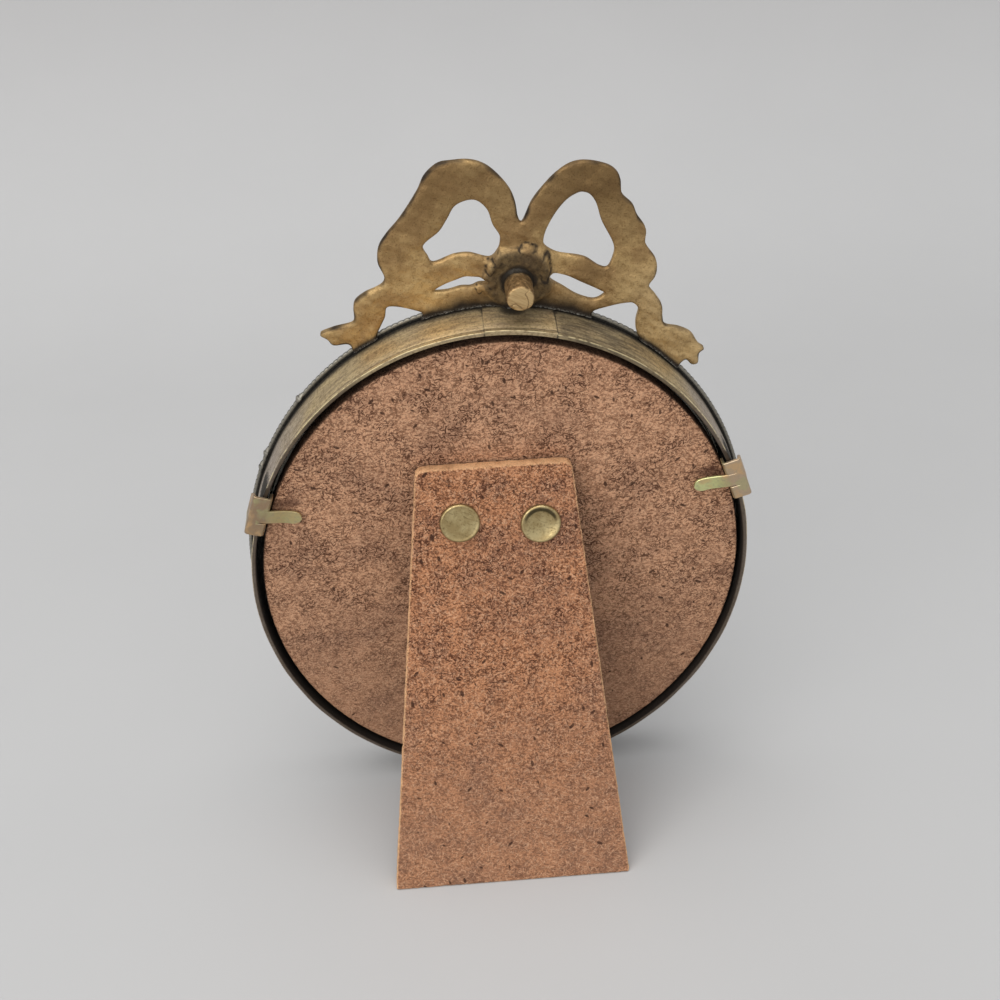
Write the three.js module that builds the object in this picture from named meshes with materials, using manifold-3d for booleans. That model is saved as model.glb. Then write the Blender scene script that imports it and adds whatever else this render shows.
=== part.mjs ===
// An oval brass picture frame with a ribbon bow, standing on a hinged hardboard leg.
// Millimetres. The front faces -Y, the top leans back towards +Y, and the table is at z = 0.
// The frame is drawn upright, with y = 0 on the back of the front moulding and z = 0 at the
// middle of the oval, and is then leaned back. Left is +X, as it is seen from behind.
import * as THREE from 'three';
import { mergeVertices } from 'three/addons/utils/BufferGeometryUtils.js';
import Module from 'manifold-3d';

// How it stands
const LEAN = THREE.MathUtils.degToRad(11.5);
const LEG_OPENING = THREE.MathUtils.degToRad(21);
const WORN_FLAT = 0.22;
const SEAT = 0.3;
const OVAL_STEPS = 72;
const ROUND_STEPS = 24;
const CORNER_STEPS = 8;

// Brass band, measured over its outer wall
const OVAL_WIDTH = 89.8;
const OVAL_HEIGHT = 110.4;
const BAND_WALL = 0.7;
const LIP_PROUD = 0.12;
const LIP_DEPTH = 1;
const GROOVE_DEPTH = 0.15;
const GROOVE_WIDTH = 0.3;
const SPLICE_LENGTH = 11.6;
const SPLICE_PROUD = 0.2;

// Front moulding: a rounded outer slope, a hollow and an inner bead round the glass
const FLANGE_PROUD = 0.9;
const FLANGE_EDGE = 0.4;
const SLOPE_WIDTH = 4;
const SLOPE_HEIGHT = 2.6;
const SLOPE_STEPS = 6;
const HOLLOW_WIDTH = 1.4;
const HOLLOW_HEIGHT = 2;
const BEAD_WIDTH = 1.6;
const BEAD_HEIGHT = 2.6;
const BEAD_STEPS = 6;
const REBATE_DEPTH = 1.4;
const REBATE_PLAY = 0.4;

// What the pocket holds, from the front
const POCKET_PLAY = 1.2;
const GLASS_THICKNESS = 1.6;
const CARD_THICKNESS = 0.4;
const FILLER_THICKNESS = 1.5;
const BOARD_THICKNESS = 3;
const BOARD_RECESS = 1.3;
const BOARD_WIDTH_PLAY = 0.9;
const BOARD_HEIGHT_PLAY = 1.35;
const BOARD_ASIDE = -0.2;
const BOARD_DROP = 0.7;

// Ribbon bow, set a little off the top of the oval
const BOW_TURN = THREE.MathUtils.degToRad(4);
const BOW_EDGE = 0.8;
const BOW_CROWN = 0.7;
const BOW_SHOULDER = 0.6;
const BOW_SHOULDER_STEPS = 1;
const BOW_OVER_FLANGE = 0.8;
const BOW_CURVE_STEPS = 3;
const BOSS_DIAMETER = 11;
const BOSS_HEIGHT = 0.9;
const KNOT_WIDTH = 8;
const KNOT_LENGTH = 7;
const KNOT_HEIGHT = 2;
const STUD_DIAMETER = 4.4;
const STUD_LENGTH = 4.6;
const STUD_FOOT_DIAMETER = 6;
const STUD_FOOT_HEIGHT = 0.6;
const STUD_ABOVE_RIM = 4.4;
const STUD_ASIDE = 0.4;
const STUD_CHAMFER = 0.2;

// Hardboard leg
const LEG_THICKNESS = 3;
const LEG_TOP_WIDTH = 26.5;
const LEG_FOOT_WIDTH = 44.4;
const LEG_CORNER = 1.6;
const LEG_ASIDE = 0.65;

// Hinge between the board and the leg, hidden by the leg
const PIN_HEIGHT = 22.2;
const HINGE_ASIDE = 0.5;
const HINGE_WIDTH = 20;
const LEAF_THICKNESS = 0.4;
const PIN_DIAMETER = 0.9;
const PIN_PLAY = 0.1;
const KNUCKLE_WALL = 0.4;
const LEG_KNUCKLE = 6;
const LEG_LEAF_DROP = 7.2;
const BOARD_LEAF_DROP = 12.4;

// Rivets
const RIVET_SPACING = 13.8;
const RIVET_HEAD = 7;
const RIVET_HEAD_HEIGHT = 0.7;
const RIVET_DISH = 0.25;
const RIVET_SHANK = 2.6;
const RIVET_TAIL = 4.2;
const RIVET_TAIL_HEIGHT = 0.4;
const RIVET_PLAY = 0.15;
const LEFT_RIVET_DROP = 3.8;
const RIGHT_RIVET_DROP = 4.85;
const BOARD_RIVET_HEAD = 4.6;
const BOARD_RIVET_HEAD_HEIGHT = 0.4;
const BOARD_RIVET_DROP = 9.6;

// Sprung clips over the rear edge
const CLIP_GAUGE = 0.5;
const CLIP_LENGTH = 8.7;
const CLIP_OUTER_LEG = 3.4;
const CLIP_INNER_PLAY = 0.3;
const CLIP_OUTER_PLAY = 0.95;
const CLIP_CORNER = 0.35;
const FINGER_WIDTH = 2.8;
const FINGER_REACH = 7.6;
const FINGER_DIP_END = 0.8;
const FINGER_STEPS = 8;
const LEFT_CLIP_RISE = THREE.MathUtils.degToRad(21.6);
const RIGHT_CLIP_RISE = THREE.MathUtils.degToRad(23.3);

const wasm = await Module();
wasm.setup();

// Joins and cuts

function toSolid(geometry) {
  const bare = geometry.clone();
  bare.deleteAttribute('normal');
  bare.deleteAttribute('uv');
  const merged = mergeVertices(bare, 1e-4);
  const vertProperties = new Float32Array(merged.attributes.position.array);
  const triVerts = new Uint32Array(merged.index.array);
  return new wasm.Manifold(new wasm.Mesh({ numProp: 3, vertProperties, triVerts }));
}

function toGeometry(solid) {
  const mesh = solid.getMesh();
  const geometry = new THREE.BufferGeometry();
  geometry.setAttribute('position', new THREE.BufferAttribute(mesh.vertProperties, 3));
  geometry.setIndex(new THREE.BufferAttribute(mesh.triVerts, 1));
  geometry.computeVertexNormals();
  return geometry;
}

function cut(body, ...cutters) {
  return toGeometry(cutters.reduce((left, cutter) => left.subtract(toSolid(cutter)), toSolid(body)));
}

function join(body, ...others) {
  return toGeometry(others.reduce((sum, other) => sum.add(toSolid(other)), toSolid(body)));
}

function common(body, other) {
  return toGeometry(toSolid(body).intersect(toSolid(other)));
}

// Shapes

// A box between two corners.
function block(low, high) {
  const size = high.map((value, i) => value - low[i]);
  const middle = high.map((value, i) => (value + low[i]) / 2);
  return new THREE.BoxGeometry(...size).translate(...middle);
}

// A flat shape, drawn in X and Z, that runs from y = front back through its thickness.
function plate(shape, front, thickness, curveSegments) {
  const settings = { depth: thickness, bevelEnabled: false, curveSegments };
  return new THREE.ExtrudeGeometry(shape, settings)
    .rotateX(Math.PI / 2)
    .translate(0, front + thickness, 0);
}

// A round bar along X or along Y.
function bar(axis, diameter, from, to) {
  const geometry = new THREE.CylinderGeometry(diameter / 2, diameter / 2, to - from, ROUND_STEPS);
  geometry.translate(0, (from + to) / 2, 0);
  return axis === 'x' ? geometry.rotateZ(-Math.PI / 2) : geometry;
}

// A closed profile of [outward, rearward] points, counted from the band's outer wall, carried
// round the oval: it is turned round a circle, which is then drawn out to the oval's height.
function ovalRing(profile) {
  const closed = [...profile, profile[0]];
  const points = closed.map(([out, back]) => new THREE.Vector2(halfWidth + out, back));
  const geometry = new THREE.LatheGeometry(points, OVAL_STEPS);
  const position = geometry.attributes.position;
  for (let i = 0; i < position.count; i += 1) {
    const radius = Math.hypot(position.getX(i), position.getZ(i));
    const height = radius - halfWidth + halfHeight;
    position.setZ(i, (position.getZ(i) * height) / radius);
  }
  return geometry;
}

// An oval plate whose edge lies so far outward from the band's outer wall.
function ovalPlate(out, front, thickness) {
  const shape = new THREE.Shape();
  shape.absellipse(0, 0, halfWidth + out, halfHeight + out, 0, 2 * Math.PI);
  return plate(shape, front, thickness, OVAL_STEPS / 2);
}

// A polygon with every corner rounded to the same radius.
function roundedPolygon(corners, radius) {
  const shape = new THREE.Shape();
  corners.forEach((corner, i) => {
    const before = corners[(i + corners.length - 1) % corners.length];
    const after = corners[(i + 1) % corners.length];
    const start = corner.clone().lerp(before, radius / corner.distanceTo(before));
    const end = corner.clone().lerp(after, radius / corner.distanceTo(after));
    if (i === 0) {
      shape.moveTo(start.x, start.y);
    } else {
      shape.lineTo(start.x, start.y);
    }
    shape.quadraticCurveTo(corner.x, corner.y, end.x, end.y);
  });
  shape.closePath();
  return shape;
}

// Places worked out from the sizes, from the front to the back
const halfWidth = OVAL_WIDTH / 2;
const halfHeight = OVAL_HEIGHT / 2;
const rebateFloor = -REBATE_DEPTH;
const glassFront = rebateFloor + SEAT;
const cardFront = glassFront + GLASS_THICKNESS + SEAT;
const fillerFront = cardFront + CARD_THICKNESS + SEAT;
const boardFront = fillerFront + FILLER_THICKNESS + SEAT;
const boardBack = boardFront + BOARD_THICKNESS;
const bandFront = SEAT;
const bandBack = boardBack + BOARD_RECESS;
const pocketOut = -BAND_WALL - POCKET_PLAY;

// Materials

const brass = () => new THREE.MeshStandardMaterial({ color: 0x9c8350, roughness: 0.42, metalness: 1 });
const wornBrass = () => new THREE.MeshStandardMaterial({ color: 0x8a7a4e, roughness: 0.38, metalness: 1 });
const paleBrass = () => new THREE.MeshStandardMaterial({ color: 0xb3a878, roughness: 0.3, metalness: 1 });
const steel = () => new THREE.MeshStandardMaterial({ color: 0x8c8a84, roughness: 0.45, metalness: 1 });
const plating = () => new THREE.MeshStandardMaterial({ color: 0xb9ad84, roughness: 0.3, metalness: 1 });
const hardboard = () => new THREE.MeshStandardMaterial({ color: 0xa87c64, roughness: 0.9, metalness: 0 });
const paper = () => new THREE.MeshStandardMaterial({ color: 0xe8e2d2, roughness: 0.9, metalness: 0 });
const greyCard = () => new THREE.MeshStandardMaterial({ color: 0xb5a890, roughness: 0.95, metalness: 0 });
const clearGlass = () => new THREE.MeshStandardMaterial({
  color: 0xdfe8e4,
  roughness: 0.05,
  metalness: 0,
  transparent: true,
  opacity: 0.3,
});

function piece(name, geometry, material) {
  const mesh = new THREE.Mesh(geometry, material);
  mesh.name = name;
  return mesh;
}

// Front moulding: the slope and the bead in front, and a rebate for the glass behind

// Points over a hump from its outer foot to its inner foot, or to its crown when half is asked.
function humpPoints(outer, width, low, high, half, steps) {
  return Array.from({ length: steps + 1 }, (_, i) => {
    const along = i / steps;
    const rise = half ? 1 - (1 - along) ** 2 : Math.sin(Math.PI * along);
    return [outer - width * along, -low - (high - low) * rise];
  });
}

const hollowOuter = FLANGE_PROUD - SLOPE_WIDTH;
const beadOuter = hollowOuter - HOLLOW_WIDTH;
const sightOut = beadOuter - BEAD_WIDTH;
const rebateOut = pocketOut + REBATE_PLAY;
const mouldingProfile = [
  [rebateOut, 0],
  [rebateOut, rebateFloor],
  [sightOut, rebateFloor],
  ...humpPoints(beadOuter, BEAD_WIDTH, HOLLOW_HEIGHT, BEAD_HEIGHT, false, BEAD_STEPS).reverse(),
  [hollowOuter, -HOLLOW_HEIGHT],
  ...humpPoints(FLANGE_PROUD, SLOPE_WIDTH, FLANGE_EDGE, SLOPE_HEIGHT, true, SLOPE_STEPS).reverse(),
  [FLANGE_PROUD, 0],
];

function makeFrontMoulding() {
  return piece('front_moulding', ovalRing(mouldingProfile), brass());
}

// Band: a strip with a scribed groove and a rolled rear lip, closed by a short splice at the top

function bandProfile(proud) {
  const lipFront = bandBack - LIP_DEPTH;
  const grooveFront = lipFront - GROOVE_WIDTH;
  return [
    [proud - BAND_WALL, bandFront],
    [proud, bandFront],
    [proud, grooveFront],
    [proud - GROOVE_DEPTH, (grooveFront + lipFront) / 2],
    [proud + LIP_PROUD, lipFront],
    [proud + LIP_PROUD, bandBack - LIP_PROUD],
    [proud, bandBack],
    [proud - BAND_WALL, bandBack],
  ];
}

// A block round the top of the band, as long as the splice and a gap at each end, turned with
// the bow.
function spliceBlock(gap) {
  const reach = SPLICE_LENGTH / 2 + gap;
  return block([-reach, -OVAL_HEIGHT, 0], [reach, OVAL_HEIGHT, OVAL_HEIGHT]).rotateY(-BOW_TURN);
}

// What lies under the table's top, as the upright frame sees it
function underTable() {
  return block([-OVAL_WIDTH, -OVAL_HEIGHT, -OVAL_HEIGHT], [OVAL_WIDTH, OVAL_HEIGHT, 0])
    .translate(0, 0, -middleHeight)
    .rotateX(LEAN);
}

// The strip stops at the splice, and its lowest edge is worn flat where it stands
function makeBand() {
  const strip = cut(ovalRing(bandProfile(0)), spliceBlock(SEAT), underTable());
  const splice = common(ovalRing(bandProfile(SPLICE_PROUD)), spliceBlock(0));
  return [piece('rim_band', strip, wornBrass()), piece('band_splice', splice, wornBrass())];
}

// What the pocket holds

function makeGlass() {
  return piece('glass', ovalPlate(pocketOut, glassFront, GLASS_THICKNESS), clearGlass());
}

function makePictureCard() {
  return piece('picture_card', ovalPlate(pocketOut, cardFront, CARD_THICKNESS), paper());
}

function makeFillerCard() {
  return piece('filler_card', ovalPlate(pocketOut, fillerFront, FILLER_THICKNESS), greyCard());
}

// Ribbon bow: each outline point is [towards the left, above the top of the moulding]. The right
// half is cast a little differently from the left.

const bowLeftLoop = [[0.4, 13.2], [1.8, 17.9], [4.8, 22.6], [8.3, 24.6], [10.5, 24.6], [12.8, 24.1],
  [15.6, 20.8], [16.9, 17.8], [19.8, 13.3], [21.6, 11.2], [22.2, 8.6], [20.9, 4.6]];
const bowLeftTail = [[20.9, 4.6], [21.7, 3.3], [24.2, 1.6], [25.7, -0.3], [25.8, -3.7]];
const bowLeftTip = [[25.8, -3.7], [27.6, -4.5], [29.8, -5], [31.3, -6.4], [30.1, -8.2], [28.5, -9],
  [26.6, -8.6]];
const bowLeftUnderTail = [[22.6, -8], [21.6, -5.2], [21, -1.2]];
const bowRightUnderTail = [[-19.4, -0.8], [-20, -2.8], [-19.7, -5.1], [-20.6, -8]];
const bowRightTip = [[-28.8, -12], [-30.1, -12.6], [-31.1, -11.6], [-31.5, -9.4], [-29.3, -6.9],
  [-27, -5.1], [-24.6, -4.5]];
const bowRightTail = [[-24.6, -4.5], [-24, -2.6], [-23.2, -0.5], [-21.4, 2], [-20.8, 3.2]];
const bowRightLoop = [[-20.8, 3.2], [-21.5, 6.2], [-20.5, 9.1], [-19.1, 11.8], [-17.2, 15.5],
  [-14.4, 19.6], [-13.7, 22.2], [-12, 23.9], [-7.7, 24.8], [-5.5, 24], [-3.4, 21.8], [-0.3, 15.7],
  [0.4, 13.2]];
const bowUnderRim = [[15.9, -1.8], [14, -6], [-11, -6], [-12.9, -1.8]];
const bowTailUnderRim = [[24.4, -12], [-26.4, -15]];
const bowLeftHole = [[8, 17.8], [10.9, 16.1], [13.1, 11.9], [15.3, 10], [13.9, 7.3], [9.2, 8.9],
  [4.9, 8.4], [3.4, 10.6], [5.3, 15.8]];
const bowRightHole = [[-8.9, 19.5], [-5.3, 16.6], [-3.2, 12.2], [-3.8, 9.9], [-8.1, 8.7],
  [-12.7, 6.7], [-14.5, 7.4], [-13.9, 11], [-11.7, 16.3]];
const bowLeftSlit = [[13.8, 2], [8.6, 2.7], [5.2, 4.1], [8.7, 4.2], [11.3, 3.3]];
const bowRightSlit = [[-4.7, 5], [-6.5, 3.3], [-9, 1.6], [-11.2, 0.7], [-13.7, 1.4], [-10.5, 3.1],
  [-7.1, 4.6]];

const bowBack = BOW_OVER_FLANGE;
const bowFront = bowBack - BOW_EDGE - BOW_CROWN;
const rimTop = halfHeight + FLANGE_PROUD;

function bowPoints(list) {
  return list.map(([x, z]) => new THREE.Vector2(x, rimTop + z));
}

// A smooth closed hole through the listed points, run the other way round from the outline.
function bowHole(list) {
  const points = bowPoints(list).map((point) => new THREE.Vector3(point.x, point.y, 0));
  const curve = new THREE.CatmullRomCurve3(points, true, 'centripetal');
  const ring = curve.getPoints(list.length * BOW_CURVE_STEPS).slice(1).reverse();
  return new THREE.Path(ring.map((point) => new THREE.Vector2(point.x, point.y)));
}

// Smooth stretches, with a corner wherever one ends and the next begins.
function bowOutline() {
  const stretches = [bowLeftLoop, bowLeftTail, bowLeftTip];
  const others = [bowRightTip, bowRightTail, bowRightLoop];
  const smooth = (list) => new THREE.SplineCurve(bowPoints(list)).getPoints(
    list.length * BOW_CURVE_STEPS,
  ).slice(1);
  const outline = [
    ...stretches.flatMap(smooth),
    ...bowPoints([bowTailUnderRim[0]]),
    ...bowPoints(bowLeftUnderTail),
    ...bowPoints(bowUnderRim),
    ...bowPoints(bowRightUnderTail),
    ...bowPoints([bowTailUnderRim[1], bowRightTip[0]]),
    ...others.flatMap(smooth),
  ];
  const shape = new THREE.Shape(outline);
  shape.holes = [bowLeftHole, bowRightHole, bowLeftSlit, bowRightSlit].map(bowHole);
  return shape;
}

const studHeight = rimTop + STUD_ABOVE_RIM;

// The outline with an upright edge at the back and a rounded shoulder in front.
function bowRelief() {
  const settings = {
    depth: 2 * BOW_EDGE,
    bevelEnabled: true,
    bevelThickness: BOW_CROWN,
    bevelSize: BOW_SHOULDER,
    bevelOffset: -BOW_SHOULDER,
    bevelSegments: BOW_SHOULDER_STEPS,
    curveSegments: 1,
  };
  const bothSides = new THREE.ExtrudeGeometry(bowOutline(), settings)
    .rotateX(Math.PI / 2)
    .translate(0, bowBack + BOW_EDGE, 0);
  const behind = block([-OVAL_WIDTH, bowBack, 0], [OVAL_WIDTH, OVAL_WIDTH, 2 * OVAL_HEIGHT]);
  return cut(bothSides, behind);
}

// The cast ribbon with its knot in front and its boss behind, halved over the flange so that its
// lower edge reaches the band.
function makeBowCrest() {
  const boss = bar('y', BOSS_DIAMETER, bowFront, bowBack + BOSS_HEIGHT)
    .translate(STUD_ASIDE, 0, studHeight);
  const knot = new THREE.SphereGeometry(1, ROUND_STEPS, ROUND_STEPS / 2)
    .scale(KNOT_WIDTH / 2, KNOT_HEIGHT, KNOT_LENGTH / 2)
    .translate(STUD_ASIDE, bowFront, studHeight);
  const cast = join(bowRelief(), boss, knot).rotateY(-BOW_TURN);
  const overBand = ovalPlate(SPLICE_PROUD + SEAT, 0, OVAL_WIDTH);
  const overFlange = ovalPlate(FLANGE_PROUD + SEAT, SEAT - OVAL_WIDTH, OVAL_WIDTH);
  return piece('bow_crest', cut(cast, overBand, overFlange), brass());
}

// A turned stud with a soldered foot, sawn off square.
function makeBowStud() {
  const foot = bowBack + BOSS_HEIGHT + SEAT;
  const radius = STUD_DIAMETER / 2;
  const end = foot + STUD_LENGTH;
  const profile = [
    [0, foot],
    [STUD_FOOT_DIAMETER / 2, foot],
    [radius, foot + STUD_FOOT_HEIGHT],
    [radius, end - STUD_CHAMFER],
    [radius - STUD_CHAMFER, end],
    [0, end],
  ].map(([out, back]) => new THREE.Vector2(out, back));
  const stud = new THREE.LatheGeometry(profile, ROUND_STEPS)
    .translate(STUD_ASIDE, 0, studHeight)
    .rotateY(-BOW_TURN);
  return piece('bow_stud', stud, brass());
}

// Rivets: a dished head behind, a shank, and a tail spread in front of the pieces it holds

function rivetGeometry(head, headHeight, headSeat, tailSeat) {
  const radius = head / 2;
  const top = headSeat + headHeight;
  const tailEnd = tailSeat - RIVET_TAIL_HEIGHT;
  const profile = [
    [0, tailEnd],
    [RIVET_TAIL / 2, tailEnd],
    [RIVET_TAIL / 2, tailSeat],
    [RIVET_SHANK / 2, tailSeat],
    [RIVET_SHANK / 2, headSeat],
    [radius, headSeat],
    [radius, headSeat + headHeight / 2],
    [radius - headHeight / 2, top],
    [radius - headHeight, top],
    [radius - headHeight - RIVET_DISH, top - RIVET_DISH],
    [0, top - RIVET_DISH],
  ].map(([out, back]) => new THREE.Vector2(out, back));
  return new THREE.LatheGeometry(profile, ROUND_STEPS);
}

const rivetHole = RIVET_SHANK + 2 * RIVET_PLAY;
const tailSink = RIVET_TAIL_HEIGHT + 2 * SEAT;
const rivetX = RIVET_SPACING / 2;
const legRivets = [['left', rivetX, LEFT_RIVET_DROP], ['right', -rivetX, RIGHT_RIVET_DROP]];
const boardRivets = [['left', rivetX, BOARD_RIVET_DROP], ['right', -rivetX, BOARD_RIVET_DROP]];

// Hinge, drawn round its pin, which runs along X
const knuckle = PIN_DIAMETER / 2 + PIN_PLAY + KNUCKLE_WALL;
const pinBack = boardBack + SEAT + knuckle;
const legFront = knuckle + SEAT;
const legBack = legFront + LEG_THICKNESS;

// One leaf hangs from its knuckles, on the side of the pin that its sign gives.
function leafGeometry(sign, drop, knuckles, rivets) {
  const half = HINGE_WIDTH / 2;
  const faces = [sign * knuckle, sign * (knuckle - LEAF_THICKNESS)];
  const sheet = block([-half, Math.min(...faces), -drop], [half, Math.max(...faces), 0]);
  const rolls = knuckles.map(([from, to]) => bar('x', 2 * knuckle, from, to));
  const others = gapsBetween(knuckles, half);
  const room = knuckle + SEAT;
  const clear = others.map(([from, to]) => block([from, -room, -room], [to, room, room]));
  const bore = bar('x', PIN_DIAMETER + 2 * PIN_PLAY, -half - SEAT, half + SEAT);
  const holes = rivets.map(([, x, rivetDrop]) =>
    bar('y', rivetHole, -room, room).translate(x, 0, -rivetDrop));
  return cut(join(sheet, ...rolls), ...clear, bore, ...holes);
}

// The stretches of the hinge that a leaf leaves to the other one.
function gapsBetween(knuckles, half) {
  const ends = [-half - SEAT, ...knuckles.flat(), half + SEAT];
  const pairs = [];
  for (let i = 0; i < ends.length; i += 2) {
    pairs.push([ends[i], ends[i + 1]]);
  }
  return pairs.filter(([from, to]) => to - from > 2 * SEAT);
}

function makeHingeOnBoard() {
  const half = HINGE_WIDTH / 2;
  const inner = LEG_KNUCKLE / 2 + SEAT;
  const leaf = leafGeometry(-1, BOARD_LEAF_DROP, [[-half, -inner], [inner, half]], boardRivets);
  const pin = bar('x', PIN_DIAMETER, -half, half);
  const leafBack = LEAF_THICKNESS - knuckle;
  const tailSeat = boardFront - pinBack + tailSink - SEAT;
  const rivets = boardRivets.map(([side, x, drop]) => {
    const rivet = rivetGeometry(BOARD_RIVET_HEAD, BOARD_RIVET_HEAD_HEIGHT, leafBack + SEAT, tailSeat);
    return piece(`board_rivet_${side}`, rivet.translate(x, 0, -drop), steel());
  });
  return [piece('hinge_board_leaf', leaf, steel()), piece('hinge_pin', pin, steel()), ...rivets];
}

// Back board, cut loose in the band and settled low in it, bored for its two rivets, with their
// tails sunk in its front
function makeBackBoard() {
  const opening = halfHeight - BAND_WALL;
  const board = ovalPlate(-BAND_WALL - BOARD_WIDTH_PLAY, boardFront, BOARD_THICKNESS)
    .scale(1, 1, (opening - BOARD_HEIGHT_PLAY) / (opening - BOARD_WIDTH_PLAY))
    .translate(BOARD_ASIDE, 0, -BOARD_DROP);
  const bores = boardRivets.flatMap(([, x, drop]) => [
    bar('y', rivetHole, boardFront - SEAT, boardBack + SEAT),
    bar('y', RIVET_TAIL + 2 * RIVET_PLAY, boardFront - SEAT, boardFront + tailSink),
  ].map((bore) => bore.translate(x + HINGE_ASIDE, 0, PIN_HEIGHT - drop)));
  return piece('back_board', cut(board, ...bores), hardboard());
}

// How high the middle of the oval stands, when the ring's lowest edge, worn flat, is on the table
const ringEdges = [...mouldingProfile, ...bandProfile(0)];
const ringDrops = ringEdges.map(
  ([out, back]) => (halfHeight + out) * Math.cos(LEAN) + back * Math.sin(LEAN),
);
const middleHeight = Math.max(...ringDrops) - WORN_FLAT;

// Leg, drawn round the pin: its top edge stops against the board at the full opening, and its
// foot is cut to lie flat on the table
const legSlope = LEG_OPENING - LEAN;
const legTop = (legFront * Math.cos(LEG_OPENING) + knuckle) / Math.sin(LEG_OPENING);
const pinLift = middleHeight + PIN_HEIGHT * Math.cos(LEAN) - pinBack * Math.sin(LEAN);
const legFoot = pinLift / Math.cos(legSlope);

function makeLegPlate() {
  const half = LEG_TOP_WIDTH / 2;
  const halfFoot = LEG_FOOT_WIDTH / 2;
  const corners = [[half, legTop], [-half, legTop], [-halfFoot, -legFoot], [halfFoot, -legFoot]]
    .map(([x, z]) => new THREE.Vector2(x + LEG_ASIDE, z));
  const shape = roundedPolygon(corners, LEG_CORNER);
  legRivets.forEach(([, x, drop]) => {
    const hole = new THREE.Path();
    hole.absarc(x, -drop, rivetHole / 2, 0, 2 * Math.PI, true);
    shape.holes.push(hole);
  });
  const geometry = plate(shape, legFront, LEG_THICKNESS, CORNER_STEPS);
  const position = geometry.attributes.position;
  for (let i = 0; i < position.count; i += 1) {
    if (position.getZ(i) < -legFoot / 2) {
      position.setZ(i, position.getZ(i) - position.getY(i) * Math.tan(legSlope));
    }
  }
  return piece('easel_leg', geometry, hardboard());
}

function makeLeg() {
  const knuckleEnd = LEG_KNUCKLE / 2;
  const leaf = leafGeometry(1, LEG_LEAF_DROP, [[-knuckleEnd, knuckleEnd]], legRivets);
  const tailSeat = knuckle - LEAF_THICKNESS - SEAT;
  const rivets = legRivets.map(([side, x, drop]) => {
    const rivet = rivetGeometry(RIVET_HEAD, RIVET_HEAD_HEIGHT, legBack + SEAT, tailSeat);
    return piece(`leg_rivet_${side}`, rivet.translate(x, 0, -drop), paleBrass());
  });
  return [makeLegPlate(), piece('hinge_leg_leaf', leaf, steel()), ...rivets];
}

// Clips: a channel over the rear edge, drawn with X outward and Z along the rim, and a finger
// that dips to the board

const rimBow = (CLIP_LENGTH ** 2 * halfHeight) / (8 * halfWidth ** 2);
const clipOuter = LIP_PROUD + CLIP_OUTER_PLAY + CLIP_GAUGE;
const clipInner = -BAND_WALL - rimBow - CLIP_INNER_PLAY - CLIP_GAUGE;
const clipSeat = bandBack + SEAT;

function clipChannel() {
  const crown = clipSeat + CLIP_GAUGE;
  const innerEnd = boardBack + SEAT;
  const section = new THREE.Shape([
    [clipOuter, crown - CLIP_OUTER_LEG],
    [clipOuter, crown - CLIP_CORNER],
    [clipOuter - CLIP_CORNER, crown],
    [clipInner + CLIP_CORNER, crown],
    [clipInner, crown - CLIP_CORNER],
    [clipInner, innerEnd],
    [clipInner + CLIP_GAUGE, innerEnd],
    [clipInner + CLIP_GAUGE, clipSeat],
    [clipOuter - CLIP_GAUGE, clipSeat],
    [clipOuter - CLIP_GAUGE, crown - CLIP_OUTER_LEG],
  ].map(([out, back]) => new THREE.Vector2(out, back)));
  const settings = { depth: CLIP_LENGTH, bevelEnabled: false };
  return new THREE.ExtrudeGeometry(section, settings).translate(0, 0, -CLIP_LENGTH / 2);
}

function clipFinger() {
  const root = clipInner + CLIP_GAUGE;
  const touch = boardBack + SEAT;
  const line = Array.from({ length: FINGER_STEPS + 1 }, (_, i) => {
    const along = i / FINGER_STEPS;
    const dip = THREE.MathUtils.smoothstep(along, 0, FINGER_DIP_END);
    const x = THREE.MathUtils.lerp(root, -FINGER_REACH, along);
    return new THREE.Vector2(x, THREE.MathUtils.lerp(clipSeat, touch, dip));
  });
  const upper = line.map((point) => new THREE.Vector2(point.x, point.y + CLIP_GAUGE)).reverse();
  const settings = { depth: FINGER_WIDTH, bevelEnabled: false };
  const strip = new THREE.ExtrudeGeometry(new THREE.Shape([...line, ...upper]), settings)
    .translate(0, 0, -FINGER_WIDTH / 2);
  const half = FINGER_WIDTH / 2;
  const plan = new THREE.Shape();
  plan.moveTo(root + SEAT, -half);
  plan.lineTo(root + SEAT, half);
  plan.lineTo(half - FINGER_REACH, half);
  plan.absarc(half - FINGER_REACH, 0, half, Math.PI / 2, (3 * Math.PI) / 2, false);
  plan.closePath();
  return common(strip, plate(plan, 0, bandBack + OVAL_WIDTH, CORNER_STEPS));
}

// A clip stands on the rim where the oval's radius has risen so far from its middle, and faces
// straight out from there.
function makeClip(side, turn) {
  const clip = piece(`clip_${side}`, join(clipChannel(), clipFinger()), plating());
  const facing = Math.atan2(halfWidth * Math.sin(turn), halfHeight * Math.cos(turn));
  clip.position.set(halfWidth * Math.cos(turn), 0, halfHeight * Math.sin(turn));
  clip.rotation.y = -facing;
  return clip;
}

// The frame upright, the hinge and leg at the pin, then the lean
const frame = new THREE.Group();
frame.add(
  makeFrontMoulding(),
  ...makeBand(),
  makeGlass(),
  makePictureCard(),
  makeFillerCard(),
  makeBackBoard(),
  makeBowCrest(),
  makeBowStud(),
  makeClip('left', LEFT_CLIP_RISE),
  makeClip('right', Math.PI - RIGHT_CLIP_RISE),
);

const hinge = new THREE.Group();
hinge.position.set(HINGE_ASIDE, pinBack, PIN_HEIGHT);
const leg = new THREE.Group();
leg.rotation.x = LEG_OPENING;
leg.add(...makeLeg());
hinge.add(...makeHingeOnBoard(), leg);
frame.add(hinge);

frame.rotation.x = -LEAN;
frame.position.z = middleHeight;

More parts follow.
